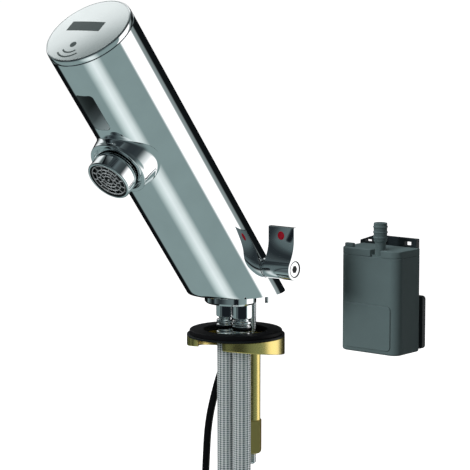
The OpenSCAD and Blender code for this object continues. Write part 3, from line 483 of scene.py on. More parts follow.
def eased(corners, closed=False, steps=5):
    """Outline through rows (x, y, radius): each corner becomes an arc of its radius."""
    rows = []
    for k, (x, y, r) in enumerate(corners):
        p = np.array([x, y], float)
        if r == 0 or (not closed and k in (0, len(corners) - 1)):
            rows.append(p[None])
            continue
        u = unit(np.array(corners[k - 1][:2]) - p)
        w = unit(np.array(corners[(k + 1) % len(corners)][:2]) - p)
        half = math.acos(float(np.clip(u @ w, -1, 1))) / 2
        centre = p + unit(u + w) * r / math.sin(half)
        start, stop = p + u * r / math.tan(half) - centre, p + w * r / math.tan(half) - centre
        arc = math.pi - 2 * half
        t = np.linspace(0, 1, steps + 1)[:, None]
        rows.append(centre + (np.sin((1 - t) * arc) * start + np.sin(t * arc) * stop)
                    / math.sin(arc))
    return np.concatenate(rows)


def turned(profile, where, sides=96, closed=False, limit=None):
    """Solid of revolution: rows (r, h) of the profile turned about local z, each radius kept
    under a limit that follows angle and height, if one is given."""
    angle, radius, height = full_turn(sides)[:, None], profile[:, 0][None], profile[:, 1][None]
    if limit:
        radius = np.minimum(radius, limit(angle, height))
    points = put(around(radius, angle, height), where)
    return points, grid_faces(sides, len(profile), True, closed)


def outward_of(outline):
    """Outward normals of a closed outline at its points."""
    ahead, behind = np.roll(outline, -1, 0), np.roll(outline, 1, 0)
    along = unit(ahead - behind)
    area = np.sum(outline[:, 0] * ahead[:, 1] - outline[:, 1] * ahead[:, 0])
    return np.stack([along[:, 1], -along[:, 0]], -1) * np.sign(area)


def walls_of(outline, profile):
    """Points of a wall: for each row (inset, height) of the profile the outline shrinks along
    its own normals by the inset and sits at that height."""
    rings = outline[:, None] - outward_of(outline)[:, None] * profile[None, :, :1]
    return np.dstack([rings, np.broadcast_to(profile[None, :, 1:], rings.shape[:2] + (1,))])


def lofted(outline, profile, where, open_end=False):
    """Prism with eased ends: the outline's wall, closed flat at both ends, or at the last left
    open. A thin ring inside each end keeps the flat face's shading flat."""
    profile = np.vstack([profile[0] + [HOLD, 0], profile, profile[-1] + [HOLD, 0]])
    n, m = len(outline), len(profile)
    faces = [*grid_faces(n, m, True), np.arange(n) * m]
    if not open_end:
        faces.append(np.arange(n) * m + m - 1)
    return put(walls_of(outline, profile), where), faces


def eased_ends(low, high, ease_low, ease_high, steps=5):
    """Rows (inset, height) of a wall from low to high with a quarter round at each end."""
    turn = np.linspace(0, math.pi / 2, steps)
    return np.vstack([
        np.stack([ease_low * (1 - np.sin(turn)), low + ease_low * (1 - np.cos(turn))], -1),
        np.stack([ease_high * (1 - np.cos(turn)), high - ease_high * (1 - np.sin(turn))], -1)])


def rounded_rect(w, h, r, steps=8):
    """Outline of a rectangle w by h with round corners of radius r."""
    return eased([(w / 2, -h / 2, r), (w / 2, h / 2, r), (-w / 2, h / 2, r),
                  (-w / 2, -h / 2, r)], True, steps)


def hexagon(angle, corner_r):
    """Distance from the middle of a hexagon to its side in each direction."""
    step = math.pi / 3
    return corner_r * math.cos(step / 2) / np.cos((angle % step) - step / 2)


# Cords, by the routes of the part's source
HOSE_ROUTE = np.array([
    (0, -24), (0, -36), (0, -60), (0, -90), (0, -120), (0.3, -145), (1, -170), (2.3, -195),
    (4, -220), (5.7, -245), (7, -270), (7.7, -290), (8, -305), (8, -318), (8, -330),
]) / 1000
CABLE_ROUTE = np.array([
    (0, 4.4, -15), (0, 4.4, -20), (-1.6, 5.2, -25), (-5, 6.2, -30), (-9, 6.4, -35.5),
    (-12.4, 6, -41), (-15.2, 5.3, -47), (-17.7, 4.3, -55), (-20.2, 3.1, -65.5),
    (-22.3, 2.2, -76), (-23.5, 1.5, -86.5), (-24, 1, -98), (-24.4, 0.6, -110),
    (-25, 0.3, -128), (-26.2, 0, -150), (-28, 0, -175), (-30, 0, -200), (-31.6, 0, -225),
    (-32.6, 0, -250), (-33, 0, -275), (-33, 0, -300), (-33, 0, -325), (-33, 0, -350),
    (-33, 0, -368), (-33, 0, -380),
]) / 1000


def smooth_route(route, spacing):
    """Curve through the route's points: a cubic on each step, with its slope at each point
    taken from the two neighbours, sampled about every spacing."""
    before = np.vstack([2 * route[0] - route[1], route[:-1]])
    after = np.vstack([route[1:], 2 * route[-1] - route[-2]])
    rows = []
    for k in range(len(route) - 1):
        p0, p1, p2, p3 = before[k], route[k], route[k + 1], after[k + 1]
        length = np.linalg.norm(p2 - p1)
        count = max(2, int(length / spacing))
        t = (np.arange(count) / count)[:, None]
        left = length / max(np.linalg.norm(p1 - p0), 1e-9)
        right = length / max(np.linalg.norm(p3 - p2), 1e-9)
        slope1 = ((p1 - p0) * left + (p2 - p1)) / 2
        slope2 = ((p2 - p1) + (p3 - p2) * right) / 2
        rows.append((2 * t**3 - 3 * t**2 + 1) * p1 + (t**3 - 2 * t**2 + t) * slope1
                    + (3 * t**2 - 2 * t**3) * p2 + (t**3 - t**2) * slope2)
    return np.vstack(rows + [route[-1:]])


def step_lengths(path):
    """Lengths of the steps from point to point of a path."""
    return np.linalg.norm(np.diff(path, axis=0), axis=1)


def swept(path, radius, sides):
    """Closed tube along a path: each ring lies square to the path, its radius a number or
    an array of path points by sides."""
    along = unit(np.gradient(path, axis=0))
    side = unit(np.cross(along, [0.0, 1.0, 0.0]))
    other = np.cross(side, along)
    angle = full_turn(sides)[None, :, None]
    ring = np.cos(angle) * side[:, None] + np.sin(angle) * other[:, None]
    reach = np.broadcast_to(radius, ring.shape[:2])[..., None]
    n = len(path)
    faces = [*grid_faces(n, sides, False, True), np.arange(sides),
             (n - 1) * sides + np.arange(sides)]
    return path[:, None] + reach * ring, faces


def braided_hose(name, side):
    """Hose under a wire braid: two families of wires cross, and the radius rises with the
    mean of a cosine round the hose and one along it."""
    route = np.stack([side * (HOSE_X + HOSE_ROUTE[:, 0]), np.full(len(HOSE_ROUTE), HOSE_Y),
                      HOSE_ROUTE[:, 1]], -1)
    path = smooth_route(route, 0.0003)
    sides, rows, pitch, relief = 80, 14, 0.0013, 0.0002
    steps = step_lengths(path)
    run = np.concatenate([[0], np.cumsum(steps)])[:, None]
    height = 0.5 * (np.cos(rows * full_turn(sides)[None]) + np.cos(2 * math.pi * run / pitch))
    hose = piece(name, swept(path, HOSE_R - relief + relief * height, sides), "braid", "tap",
                 name.replace("braided", "hose"), 80, False, height.ravel())


def signal_cable():
    """Round black lead from the strain relief down to its flat plug."""
    path = smooth_route(CABLE_ROUTE, 0.003)
    cable = piece("cable", swept(path, CABLE_R, 32), "cable_sheath", "tap", "signal_cable", 60,
                  False)


braided_hose("braided_hot", -1)
braided_hose("braided_cold", 1)
signal_cable()


# Leaning tube: half sizes of the window's opening and depth of its wall, reach of the finer
# grid round it, station where the even skin begins, and chamfer of the tube's mouth
OPEN_W = WINDOW_W / 2 + SLACK
OPEN_H = WINDOW_H / 2 + SLACK
WINDOW_SILL = 0.0016
WINDOW_SIDE = math.radians(32)
WINDOW_FADE = 1.35
SKIN_FROM = 0.05
MOUTH_CHAMFER = 0.0003


def tube_points(angle, along, radius=TUBE_R):
    """Points of the tube: angle 0 looks out of the spout, positive to the user's right."""
    local = np.stack([radius * np.sin(angle), -radius * np.cos(angle), along + 0 * angle], -1)
    return put(local, LEAN_PLACE)


def heel_start(angle):
    """Station at which the tube's skin meets the deck, or the cone that trims its front, with
    the point below it on the foot's edge and the corner before the trim."""
    side, front = TUBE_R + SIDE_MARGIN, TUBE_R / math.cos(LEAN) - HEEL_INSET
    centre_y = (side**2 - front**2) / (2 * front)
    flat = TUBE_R * np.cos(angle) * math.tan(LEAN)
    low, high = flat, flat + 0.02
    for _ in range(40):
        middle = (low + high) / 2
        p = tube_points(angle, middle)
        reach = np.hypot(p[:, 0], p[:, 1] - centre_y)
        outside = (reach > front + centre_y + HEEL_SLOPE * p[:, 2]) & (p[:, 1] < 0)
        low, high = np.where(outside, middle, low), np.where(outside, high, middle)
    trimmed = high > flat + 1e-6
    corner = tube_points(angle, flat)
    away = corner[:, :2] - [0, centre_y]
    reach = np.minimum(np.linalg.norm(away, axis=1), front + centre_y)[:, None]
    base = corner.copy()
    base[:, :2] = np.where(trimmed[:, None], [0, centre_y] + unit(away) * reach, corner[:, :2])
    return np.where(trimmed, high, flat), base, corner


def circle_towards(points, radius, centre_y, height):
    """For each point, the point of a level circle that lies in the same direction."""
    out = np.full_like(points, height)
    out[:, :2] = [0, centre_y] + unit(points[:, :2] - [0, centre_y]) * radius
    return out


def window_columns():
    """Angles round the tube, closer together at the corners of the window."""
    corner = math.asin((OPEN_W - WINDOW_ROUND) / TUBE_R)
    right = graded(corner, (math.asin(OPEN_W / TUBE_R), 6), (WINDOW_SIDE, 8))[1:]
    back = np.linspace(WINDOW_SIDE, 2 * math.pi - WINDOW_SIDE, 110)[1:-1]
    return np.concatenate([-right[::-1], np.linspace(-corner, corner, 7), right, back])


def window_rows():
    """Stations up the tube, closer together at the corners of the window."""
    low, high, reach = WINDOW_AT - OPEN_H, WINDOW_AT + OPEN_H, WINDOW_FADE * OPEN_H
    return graded(SKIN_FROM, (WINDOW_AT - reach, 8), (low, 5), (low + WINDOW_ROUND, 6),
                  (high - WINDOW_ROUND, 8), (high, 6), (WINDOW_AT + reach, 5),
                  (TUBE_LEN - MOUTH_CHAMFER, 5))


def round_corners(x, y, half_w, half_h, level, r):
    """Moves grid points onto arcs of radius r where they lie in the corners of a rectangle
    level times as large as half_w by half_h."""
    cx, cy = half_w * level - r, half_h * level - r
    over_x, over_y = np.abs(x) - cx, np.abs(y) - cy
    inside = (over_x > 0) & (over_y > 0) & (r > 0)
    scale = np.where(inside, r / np.maximum(np.hypot(over_x, over_y), 1e-12), 1.0)
    return (np.where(inside, np.sign(x) * (cx + over_x * scale), x),
            np.where(inside, np.sign(y) * (cy + over_y * scale), y))


def heel_rows(angle, top):
    """Rows of the shell from the spigot's hole up to a station: out over the gasket's groove
    in steps, round the foot's edge by a curve of second order, and straight up the skin."""
    start, base, corner = heel_start(angle)
    edge = tube_points(angle, start)
    rows = [circle_towards(base, *ring) for ring in (
        (SPIGOT_R + SLACK, SPIGOT_Y, FOOT_T), (SPIGOT_R + SLACK, SPIGOT_Y, 0.0),
        (GASKET_R - GASKET_W, 0.0, 0.0), (GASKET_R - GASKET_W, 0.0, GASKET_T),
        (GASKET_R, 0.0, GASKET_T), (GASKET_R, 0.0, 0.0))]
    rows += [(1 - t) ** 2 * base + 2 * t * (1 - t) * corner + t**2 * edge
             for t in np.linspace(0, 1, 7)]
    return rows + [tube_points(angle, start + (top - start) * s)
                   for s in np.linspace(0, 1, 14)[1:-1]]


def tube_skin(angle, station):
    """Skin as a grid of angle by station: round the window it follows round corners, whose
    radius fades to zero as their rectangle grows."""
    phi, up = np.meshgrid(angle, station, indexing="ij")
    front = np.abs(np.where(phi > math.pi, phi - 2 * math.pi, phi)) < WINDOW_SIDE + 0.02
    x, y = TUBE_R * np.sin(phi), up - WINDOW_AT
    level = np.maximum(np.maximum(np.abs(x) / OPEN_W, np.abs(y) / OPEN_H), 1e-9)
    fade = np.clip(1 - (level - 1) / (WINDOW_FADE - 1), 0, 1) * (level >= 1 - 1e-6)
    new_x, new_y = round_corners(x, y, OPEN_W, OPEN_H, level, WINDOW_ROUND * fade)
    phi = np.where(front, np.arcsin(np.clip(new_x / TUBE_R, -1, 1)), phi)
    up = np.where(front, WINDOW_AT + new_y, up)
    return tube_points(phi.ravel(), up.ravel()).reshape(len(angle), len(station), 3)


def window_wall(skin, angle, station):
    """Wall of the window's opening: the loop of skin points on its edge carried straight in
    towards the tube's axis."""
    columns = np.where(np.abs(angle) < math.asin(OPEN_W / TUBE_R) + 1e-9)[0]
    columns = columns[np.argsort(angle[columns])]
    levels = np.where(np.abs(station - WINDOW_AT) < OPEN_H + 1e-9)[0]
    loop = ([(c, levels[0]) for c in columns] + [(columns[-1], k) for k in levels[1:]]
            + [(c, levels[-1]) for c in columns[::-1][1:]]
            + [(columns[0], k) for k in levels[::-1][1:-1]])
    outer = np.array([skin[c, k] for c, k in loop])
    inward = unit(outer - np.outer(outer @ AXIS, AXIS))
    depth = np.linspace(0, WINDOW_SILL, 3)
    return (np.stack([outer - inward * d for d in depth], 1),
            grid_faces(len(loop), len(depth), True))


def tube_shell():
    """Tube from the spigot's hole in its foot, round the heel and up to the seam: one grid of
    angle by row, less the window's opening, which gets a wall of its own."""
    angle, station = window_columns(), window_rows()
    low, skin = heel_rows(angle, station[0]), tube_skin(angle, station)
    top = [tube_points(angle, height, radius) for height, radius in (
        (TUBE_LEN, TUBE_R - MOUTH_CHAMFER), (TUBE_LEN, TUBE_R - TUBE_WALL),
        (TUBE_LEN - CAP_PLUG, TUBE_R - TUBE_WALL))]
    rows = np.concatenate([np.stack(low, 1), skin, np.stack(top, 1)], 1)
    wrapped = np.where(angle > math.pi, angle - 2 * math.pi, angle)
    across, along = np.meshgrid((wrapped + np.roll(wrapped, -1)) / 2,
                                (station[:-1] + station[1:]) / 2 - WINDOW_AT, indexing="ij")
    open_quads = np.zeros((len(angle), rows.shape[1] - 1), bool)
    open_quads[:, len(low):len(low) + len(station) - 1] = (
        (np.abs(across) < math.asin(OPEN_W / TUBE_R)) & (np.abs(along) < OPEN_H))
    quads = grid_faces(*rows.shape[:2], True)[~open_quads.reshape(-1)]
    piece("tube_shell", join((rows, quads), window_wall(skin, wrapped, station)), "chrome",
          "tap", "body_shell", 28, False)


tube_shell()

# Cap: rise of its face and how far the face's edge lies under the rim, then the places and
# sizes of the signs that lie on the face
DOME = 0.0008
FACE_SET = 0.00005
PRINT_T = 0.00004
SIGN_AT = (-0.0016, -0.012)
DOT_R = 0.002
ARC_RADII = (0.006, 0.0092)
ARC_HALF_W = 0.0005
PLATE_AT = (-0.003, 0.0025)
PLATE_SIZE = (0.0233, 0.0073)


def face_height(radius):
    """Height of the cap's face: a dome that falls with the square of the radius."""
    return CAP_TOP - FACE_SET + DOME * (1 - (radius / FACE_R) ** 2)


def cap_rim():
    """Chrome rim of the cap, turned: a seam groove, a band crowned by a parabola and a lip
    rolled by a quarter circle."""
    seam, crown, lip = 0.0003, 0.00012, 0.0009
    band = np.linspace(0, 1, 9)
    side = np.stack([TUBE_R - 0.0001 + crown * (4 * band * (1 - band) - 0.6),
                     TUBE_LEN + seam + (CAP_H - lip - seam) * band], -1)
    turn = np.linspace(0, math.pi / 2, 8)
    rolled = np.stack([TUBE_R - 0.0002 - lip + lip * np.cos(turn),
                       CAP_TOP - lip + lip * np.sin(turn)], -1)
    inner = eased([(rolled[-1][0], CAP_TOP, 0), (FACE_R, CAP_TOP, 0.00015),
                   (FACE_R, CAP_TOP - FACE_T, 0), (0, CAP_TOP - FACE_T, 0)], steps=3)
    plug_r = TUBE_R - TUBE_WALL - SLACK
    plug = np.array([[plug_r, TUBE_LEN - CAP_PLUG], [plug_r, TUBE_LEN],
                     [TUBE_R - 0.0006, TUBE_LEN], [TUBE_R - 0.0004, TUBE_LEN + 0.0001]])
    piece("cap_rim", turned(np.vstack([plug, side, rolled, inner]), LEAN_PLACE, 160), "chrome",
          "tap", "top_cap", weighted=False)


def cap_disc():
    """Satin face inside the rim: the dome turned, with a short edge down to its seat."""
    radius = np.linspace(0, FACE_R - 0.0001, 24)
    dome = np.stack([radius, face_height(radius)], -1)
    edge = np.array([[FACE_R - 0.00006, CAP_TOP - 0.0001], [FACE_R - 0.00005, CAP_TOP - FACE_T]])
    piece("cap_disc", turned(np.vstack([dome, edge]), LEAN_PLACE, 160), "satin_chrome", "tap",
          "cap_face", weighted=False)


cap_rim()
cap_disc()


def printed(rows):
    """Flat sign on the cap's face: rows of points across the face, laid on the dome."""
    height = face_height(np.hypot(rows[..., 0], rows[..., 1])) + PRINT_T
    return put(np.dstack([rows, height]), LEAN_PLACE), grid_faces(*rows.shape[:2])


def cap_signs():
    """Dot and two arcs of the sensor sign, each a grid of angle by radius, and the bare plate,
    a grid of width by height."""
    def arc(start, stop, inner, outer, steps, rings):
        turn = np.radians(np.linspace(start, stop, steps))[:, None]
        return printed(SIGN_AT + around(np.linspace(inner, outer, rings)[None], turn)[..., :2])

    shape = join(arc(0, 360, 0.0, DOT_R, 41, 4),
                 *[arc(-138, -42, r - ARC_HALF_W, r + ARC_HALF_W, 33, 3) for r in ARC_RADII])
    piece("sensor_sign", shape, "dark_print", "tap", "sensor_symbol", weighted=False)
    shares = np.meshgrid(np.linspace(-0.5, 0.5, 25), np.linspace(-0.5, 0.5, 9), indexing="ij")
    plate = np.array(PLATE_AT) + np.array(PLATE_SIZE) * np.stack(shares, -1)
    piece("bare_plate", printed(plate), "dark_print", "tap", "blank_plate", weighted=False)


cap_signs()


def window_pane():
    """Dark pane flush in the tube: a grid over angle and station shrunk to a rounded
    rectangle, with a wall down to its back."""
    half_w, half_h = WINDOW_W / 2, WINDOW_H / 2
    x, y = np.meshgrid(graded(-1, (-0.62, 6), (0.62, 8), (1, 6)) * half_w,
                       graded(-1, (-0.82, 6), (0.82, 8), (1, 6)) * half_h, indexing="ij")
    level = np.maximum(np.abs(x) / half_w, np.abs(y) / half_h)
    x, y = round_corners(x, y, half_w, half_h, level, WINDOW_ROUND * level)
    face = tube_points(np.arcsin(x / TUBE_R).ravel(), (WINDOW_AT + y).ravel(), TUBE_R - 0.00004)
    index = np.arange(x.size).reshape(x.shape)
    loop = np.concatenate([index[:, 0], index[-1, 1:], index[:-1, -1][::-1],
                           index[0, 1:-1][::-1]])
    rim = face[loop]
    inward = unit(rim - np.outer(rim @ AXIS, AXIS))
    shape = join((face, grid_faces(*x.shape)),
                 (np.stack([rim, rim - inward * WINDOW_T], 1), grid_faces(len(loop), 2, True)))
    piece("window_pane", shape, "dark_window", "tap", "sensor_window", 40, False)


window_pane()


# Spout
def collar():
    """Collar round the spout: its front is turned, and its skirt runs back to the round of
    the tube, where depth is the root of the tube's radius squared less the side reach squared."""
    sides, lip, taper = 160, 0.0012, 0.0105
    angle = full_turn(sides)
    front = eased([(NECK_R, RECESS_FLOOR, 0), (RECESS_R, RECESS_FLOOR, 0.0003),
                   (RECESS_R, COLLAR_REACH, 0.0003), (COLLAR_R, COLLAR_REACH, 0.0005),
                   (COLLAR_R + 0.0001, COLLAR_REACH - lip, 0)])
    rows = [np.broadcast_to(row, (sides, 2)) for row in front]

    def reach_at(depth):
        return COLLAR_R + COLLAR_FLARE * (COLLAR_REACH - depth) / taper

    end = np.full(sides, TUBE_R)
    for _ in range(12):
        end = np.sqrt(TUBE_R**2 - (reach_at(end) * np.cos(angle)) ** 2)
    for t in np.linspace(0, 1, 16)[1:]:
        depth = (COLLAR_REACH - lip) * (1 - t) + (end - 0.0006) * t
        flare = 0.0007 * np.clip((t - 0.75) / 0.25, 0, 1) ** 2
        rows.append(np.stack([reach_at(depth) + flare, depth], -1))
    rows = np.stack(rows, 1)
    points = put(around(rows[..., 0], angle[:, None], rows[..., 1]), SPOUT_PLACE)
    piece("collar", (points, grid_faces(sides, rows.shape[1], True)), "chrome", "tap",
          "spout_collar", weighted=False)


collar()


def aerator_cup():
    """Turned housing of the aerator: neck in the collar, straight side and a rolled lip."""
    back, neck_end, inside = RECESS_FLOOR, RECESS_FLOOR - 0.004, AERATOR_R - CUP_WALL
    profile = eased([(NECK_BORE_R, neck_end, 0), (NECK_R, neck_end, 0), (NECK_R, back, 0),
                     (AERATOR_R - 0.0003, back, 0), (AERATOR_R - 0.0003, COLLAR_REACH + 0.0001, 0),
                     (AERATOR_R, COLLAR_REACH + 0.0003, 0.0001),
                     (AERATOR_R, AERATOR_REACH, 0.0009), (inside, AERATOR_REACH, 0.0003),
                     (inside, back + CUP_WALL, 0), (NECK_BORE_R, back + CUP_WALL, 0)], True, 6)
    piece("aerator_cup", turned(profile, SPOUT_PLACE, 128, True), "chrome", "tap",
          "aerator_housing")


aerator_cup()


def strainer():
    """Mesh of the aerator: four thin rings joined by short bars that change places from row
    to row, standing in a black dish behind the mouth, which is painted shade inside the aerator."""
    front, back = AERATOR_REACH - 0.0006, RECESS_FLOOR + CUP_WALL + 0.0016
    rim = AERATOR_R - CUP_WALL - SLACK
    mouth = rim - 0.0004
    dish = np.array([(0, front - 0.0013), (mouth, front - 0.0013), (mouth, front), (rim, front),
                     (rim, back), (0, back)])
    # The black dish is painted shade: it darkens the aerator behind the mesh
    piece("strainer_dish", turned(dish, SPOUT_PLACE), "black_plastic", "tap")

    half, bar_half, low = 0.00027, 0.00022, front - 0.0005
    rings = (0.0103, 0.0075, 0.0050, 0.0028)
    parts = [turned(eased([(r - half, low, 0), (r + half, low, 0), (r + half, front, 0.0002),
                           (r - half, front, 0.0002)], True, 3), SPOUT_PLACE, 96, True)
             for r in rings]
    hub = np.array([(0, low), (0.0007, low), (0.0007, front), (0, front)])
    parts.append(turned(hub, SPOUT_PLACE, 24))
    rows = [(mouth, 4, 0.5), (rings[0], 12, 0.0), (rings[1], 12, 0.5), (rings[2], 8, 0.0)]
    for (outer, count, shift), inner in zip(rows, rings):
        bar = np.array([(x, y, h) for x in (inner + half / 2, outer - half / 2)
                        for y in (-bar_half, bar_half) for h in (low, front - 0.00005)])
        for k in range(count):
            a = 2 * math.pi * (k + shift) / count
            turn = np.array([(math.cos(a), math.sin(a), 0), (-math.sin(a), math.cos(a), 0),
                             (0, 0, 1)])
            parts.append((put(bar @ turn, SPOUT_PLACE),
                          [(0, 1, 3, 2), (4, 6, 7, 5), (0, 4, 5, 1), (2, 3, 7, 6),
                           (1, 5, 7, 3), (0, 2, 6, 4)]))
    piece("strainer", join(*parts), "mesh_plastic", "tap", "aerator_insert", 40)


strainer()


# Lever
def flank(height):
    """Half width of the lever at a height above its axis: a square law from boss to blade."""
    low = FLANK_FROM_SHARE * BOSS_R
    s = np.clip((height - low) / (FLANK_TO - low), 0, 1)
    return BLADE_T / 2 + (FLANK_WIDTH_SHARE * BOSS_R - BLADE_T / 2) * (1 - s) ** 2


def lever():
    """Round boss drawn up into a thin blade: one outline carried along the lever's axis, its
    outer end a face that runs in straight lines to the round recess of the screw."""
    ease, end, chamfer = 0.0003, LEVER_END, 0.0004
    rise = np.linspace(FLANK_FROM_SHARE * BOSS_R, BLADE_H - chamfer, 30)
    boss = around(BOSS_R, np.radians(np.linspace(180 - 35, 360 + 35, 60))[1:-1])[:, :2]
    right = np.stack([flank(rise), rise], -1)
    tip = np.array([[BLADE_T / 2 - chamfer, BLADE_H], [chamfer - BLADE_T / 2, BLADE_H]])
    outline = np.vstack([boss, right, tip, right[::-1] * [-1, 1]])
    body = lofted(outline, eased_ends(LEVER_START, end, ease, ease), LEVER_PLACE, True)
    rim = outline - outward_of(outline) * (ease + HOLD)
    way, hole_r, floor = unit(rim), SCREW_R + 0.0003, end - 2.5 * SCREW_RECESS
    rows = [(rim, end), (way * (hole_r + 0.00015), end), (way * hole_r, end - 0.00015),
            (way * hole_r, floor), (way * (SCREW_R - 0.0006), floor)]
    face = np.stack([np.column_stack([p, np.full(len(p), h)]) for p, h in rows], 1)
    shape = join(body, (put(face, LEVER_PLACE), grid_faces(len(rim), len(rows), True)))
    piece("lever", shape, "chrome", "lever", "mixing_lever", 40)


def screw_shadow():
    """Painted shade: black pieces that stand for the shade in the gap round the screw, a turned
    ring, and in the hexagon in the screw's head, a prism of six sides."""
    low, high = LEVER_END - 0.0006, LEVER_END + 0.00004
    inner, outer = SCREW_R - 0.0001, SCREW_R + 0.0005
    gap = eased([(inner, low, 0), (outer, low, 0), (outer, high, 0.0001),
                 (inner, high, 0.0001)], True, 3)
    mouth = LEVER_END - SCREW_RECESS
    sides = np.concatenate([around(HEX_R, full_turn(6), h)
                            for h in (mouth - 0.001, mouth + 0.00003)])
    socket = [range(6), range(6, 12)] + [(k, (k + 1) % 6, (k + 1) % 6 + 6, k + 6)
                                         for k in range(6)]
    shape = join(turned(gap, LEVER_PLACE, 96, True), (put(sides, LEVER_PLACE), socket))
    piece("screw_shadow", shape, "black_plastic", "lever")


def red_marker():
    """Enamel spot on the front of the blade, turned: its height falls off towards the rim."""
    spot = place((LEVER_START + LEVER_W / 2, PIVOT[1] - BLADE_T / 2, PIVOT[2] + MARKER_UP),
                 (1, 0, 0), (0, 0, 1), (0, -1, 0))
    crown = np.array([(0, 0.00014), (0.5 * MARKER_R, 0.00013), (0.85 * MARKER_R, 0.0001),
                      (MARKER_R, 0.00003), (MARKER_R, -0.0003), (0, -0.0003)])
    piece("red_marker", turned(crown, spot, 48), "red_enamel", "lever", "hot_marker")


lever()
screw_shadow()
red_marker()


# Foot and clamp set
def spigot():
    """Foot plate with its spigot below: the lens where two circles overlap, its lower edge
    chamfered."""
    way = around(1.0, full_turn(144))[:, :2]
    shift, chamfer = SPIGOT_Y - HOLE_Y, 0.0011
    along = way[:, 1] * shift
    cut = -along + np.sqrt(along**2 - shift**2 + SPIGOT_CUT_R**2)
    outline = way * np.minimum(SPIGOT_R, cut)[:, None]
    profile = np.array([[0, FOOT_T - 0.0005], [0, -SPIGOT_H + chamfer], [chamfer, -SPIGOT_H]])
    piece("spigot", lofted(outline, profile, upright_place(0, SPIGOT_Y)), "chrome", "tap",
          "foot_plate", 25)


spigot()

FERRULE_TURN = math.radians(-21.2)
# Rows (inset, way down from the top or up from the foot, ease) of the ferrule's turned side
FERRULE_UPPER = [
    (0, 0, 0.0002), (0, 0.0088, 0.0006), (0.0016, 0.0096, 0.0004), (0.0016, 0.0104, 0.0003),
    (0.0002, 0.0110, 0.0004), (0.0002, 0.0122, 0.0004), (0.0009, 0.0126, 0.0002),
    (0.0009, 0.0130, 0.0002), (0, 0.0136, 0.0004)]
FERRULE_LOWER = [(0, 0.0022, 0.0003), (0.0005, 0.0018, 0.0002), (0.0005, 0.0013, 0.0002),
                 (0, 0.0009, 0.0003), (0, 0, 0.0005)]


def ferrule(name, side):
    """Turned ferrule: an upper barrel with six flats, a deep waist, a bead, a crimped skirt
    and a rounded foot."""
    top, low, r = -SPIGOT_H + 0.0005, HOSE_TOP, FERRULE_R
    profile = eased([(0, top, 0)] + [(r - inset, top - way, ease)
                                     for inset, way, ease in FERRULE_UPPER]
                    + [(r - inset, low + way, ease) for inset, way, ease in FERRULE_LOWER]
                    + [(0, low, 0)], steps=4)
    shape = turned(profile, upright_place(side * HOSE_X, HOSE_Y), 144, False, lambda a, h:
                   np.where(h > top - 0.009, hexagon(a - FERRULE_TURN, r + 0.0002), r))
    piece(name, shape, "chrome", "tap", name.replace("crimp", "ferrule"))


ferrule("crimp_hot", -1)
ferrule("crimp_cold", 1)


def threaded_stud():
    """Stud with a rolled thread: the radius follows a rounded wave of angle and height."""
    sides, rows, pitch, depth, chamfer = 32, 1249, 0.001, 0.00028, 0.0009
    angle, height = full_turn(sides)[:, None], np.linspace(-STUD_LEN, 0.0, rows)[None]
    wave = np.abs(((height / pitch - angle / (2 * math.pi)) % 1.0) * 2 - 1)
    radius = (STUD_R - depth * np.clip(1.25 * wave - 0.1, 0, 1)
              - np.clip(chamfer - (height + STUD_LEN), 0, 1))
    faces = [*grid_faces(sides, rows, True), np.arange(sides) * rows,
             np.arange(sides) * rows + rows - 1]
    piece("threaded_stud", (put(around(radius, angle, height), STUD_PLACE), faces), "steel",
          "tap", "fixing_stud", 60, False)


threaded_stud()


def washers():
    """Rubber washer with soft edges and the dark ring under it, both turned."""
    low = RING_TOP
    soft = eased([(WASHER_HOLE_R, low, 0.0004), (WASHER_R, low, 0.0003),
                  (WASHER_R, WASHER_TOP, 0.0008), (WASHER_HOLE_R, WASHER_TOP, 0.0006)], True)
    piece("soft_washer", turned(soft, HOLE_PLACE, 128, True), "black_rubber", "clamp",
          "rubber_washer")
    ring = eased([(RING_HOLE_R, BRACKET_TOP, 0.0001), (RING_R, BRACKET_TOP, 0.0002),
                  (RING_R, RING_TOP, 0.0003), (RING_HOLE_R, RING_TOP, 0.0001)], True, 4)
    piece("flat_ring", turned(ring, HOLE_PLACE, 128, True), "black_plastic", "clamp",
          "pressure_ring")


washers()


def horseshoe():
    """Brass horseshoe: a rounded section carried round the hole from one end of the mouth to
    the other, its inner edge cut straight at the back and its underside sloping down, with
    the turned ear that the stud goes through."""
    inner_r, ease, end = RING_R - BRACKET_W, 0.0005, 0.0028
    start, stop = MOUTH_MID + MOUTH_HALF, MOUTH_MID - MOUTH_HALF + 2 * math.pi
    angle = np.linspace(start, stop, 200)
    bridge = (BRIDGE_Y - HOLE_Y) / np.maximum(np.sin(angle), 1e-3)
    near = np.where(np.sin(angle) > 0, np.minimum(inner_r, bridge), inner_r)
    gap = np.minimum(angle - start, stop - angle) * RING_R
    shrink = end - np.sqrt(np.maximum(end**2 - np.maximum(end - gap, 0) ** 2, 0))
    quarter = np.linspace(0, math.pi / 2, 5)
    corner = np.stack([ease * (1 - np.cos(quarter)), ease * (1 - np.sin(quarter))], -1)
    rows = []
    for inner, under in ((True, True), (False, True), (False, False), (True, False)):
        for a, b in corner if inner == under else corner[::-1]:
            radial = near + shrink + a if inner else RING_R - shrink - a
            y = HOLE_Y + radial * np.sin(angle)
            floor = (BRACKET_TOP - BRACKET_THIN
                     - (y - HOLE_Y + RING_R) * math.tan(BRACKET_SLOPE))
            z = floor + b if under else BRACKET_TOP - b + 0 * angle
            rows.append(np.stack([radial * np.cos(angle), y, z], -1))
    n, m = len(angle), len(rows)
    faces = [*grid_faces(n, m, False, True), np.arange(m), (n - 1) * m + np.arange(m)]
    ear_top = BRACKET_TOP - 0.001
    ear = eased([(0, ear_top, 0), (STUD_EAR_R, ear_top, 0.0002),
                 (STUD_EAR_R, EAR_BOTTOM, 0.0006), (0, EAR_BOTTOM, 0)], steps=4)
    piece("horseshoe", join((np.stack(rows, 1), faces), turned(ear, STUD_PLACE, 64)), "brass",
          "clamp", "clamp_bracket", 40)


horseshoe()


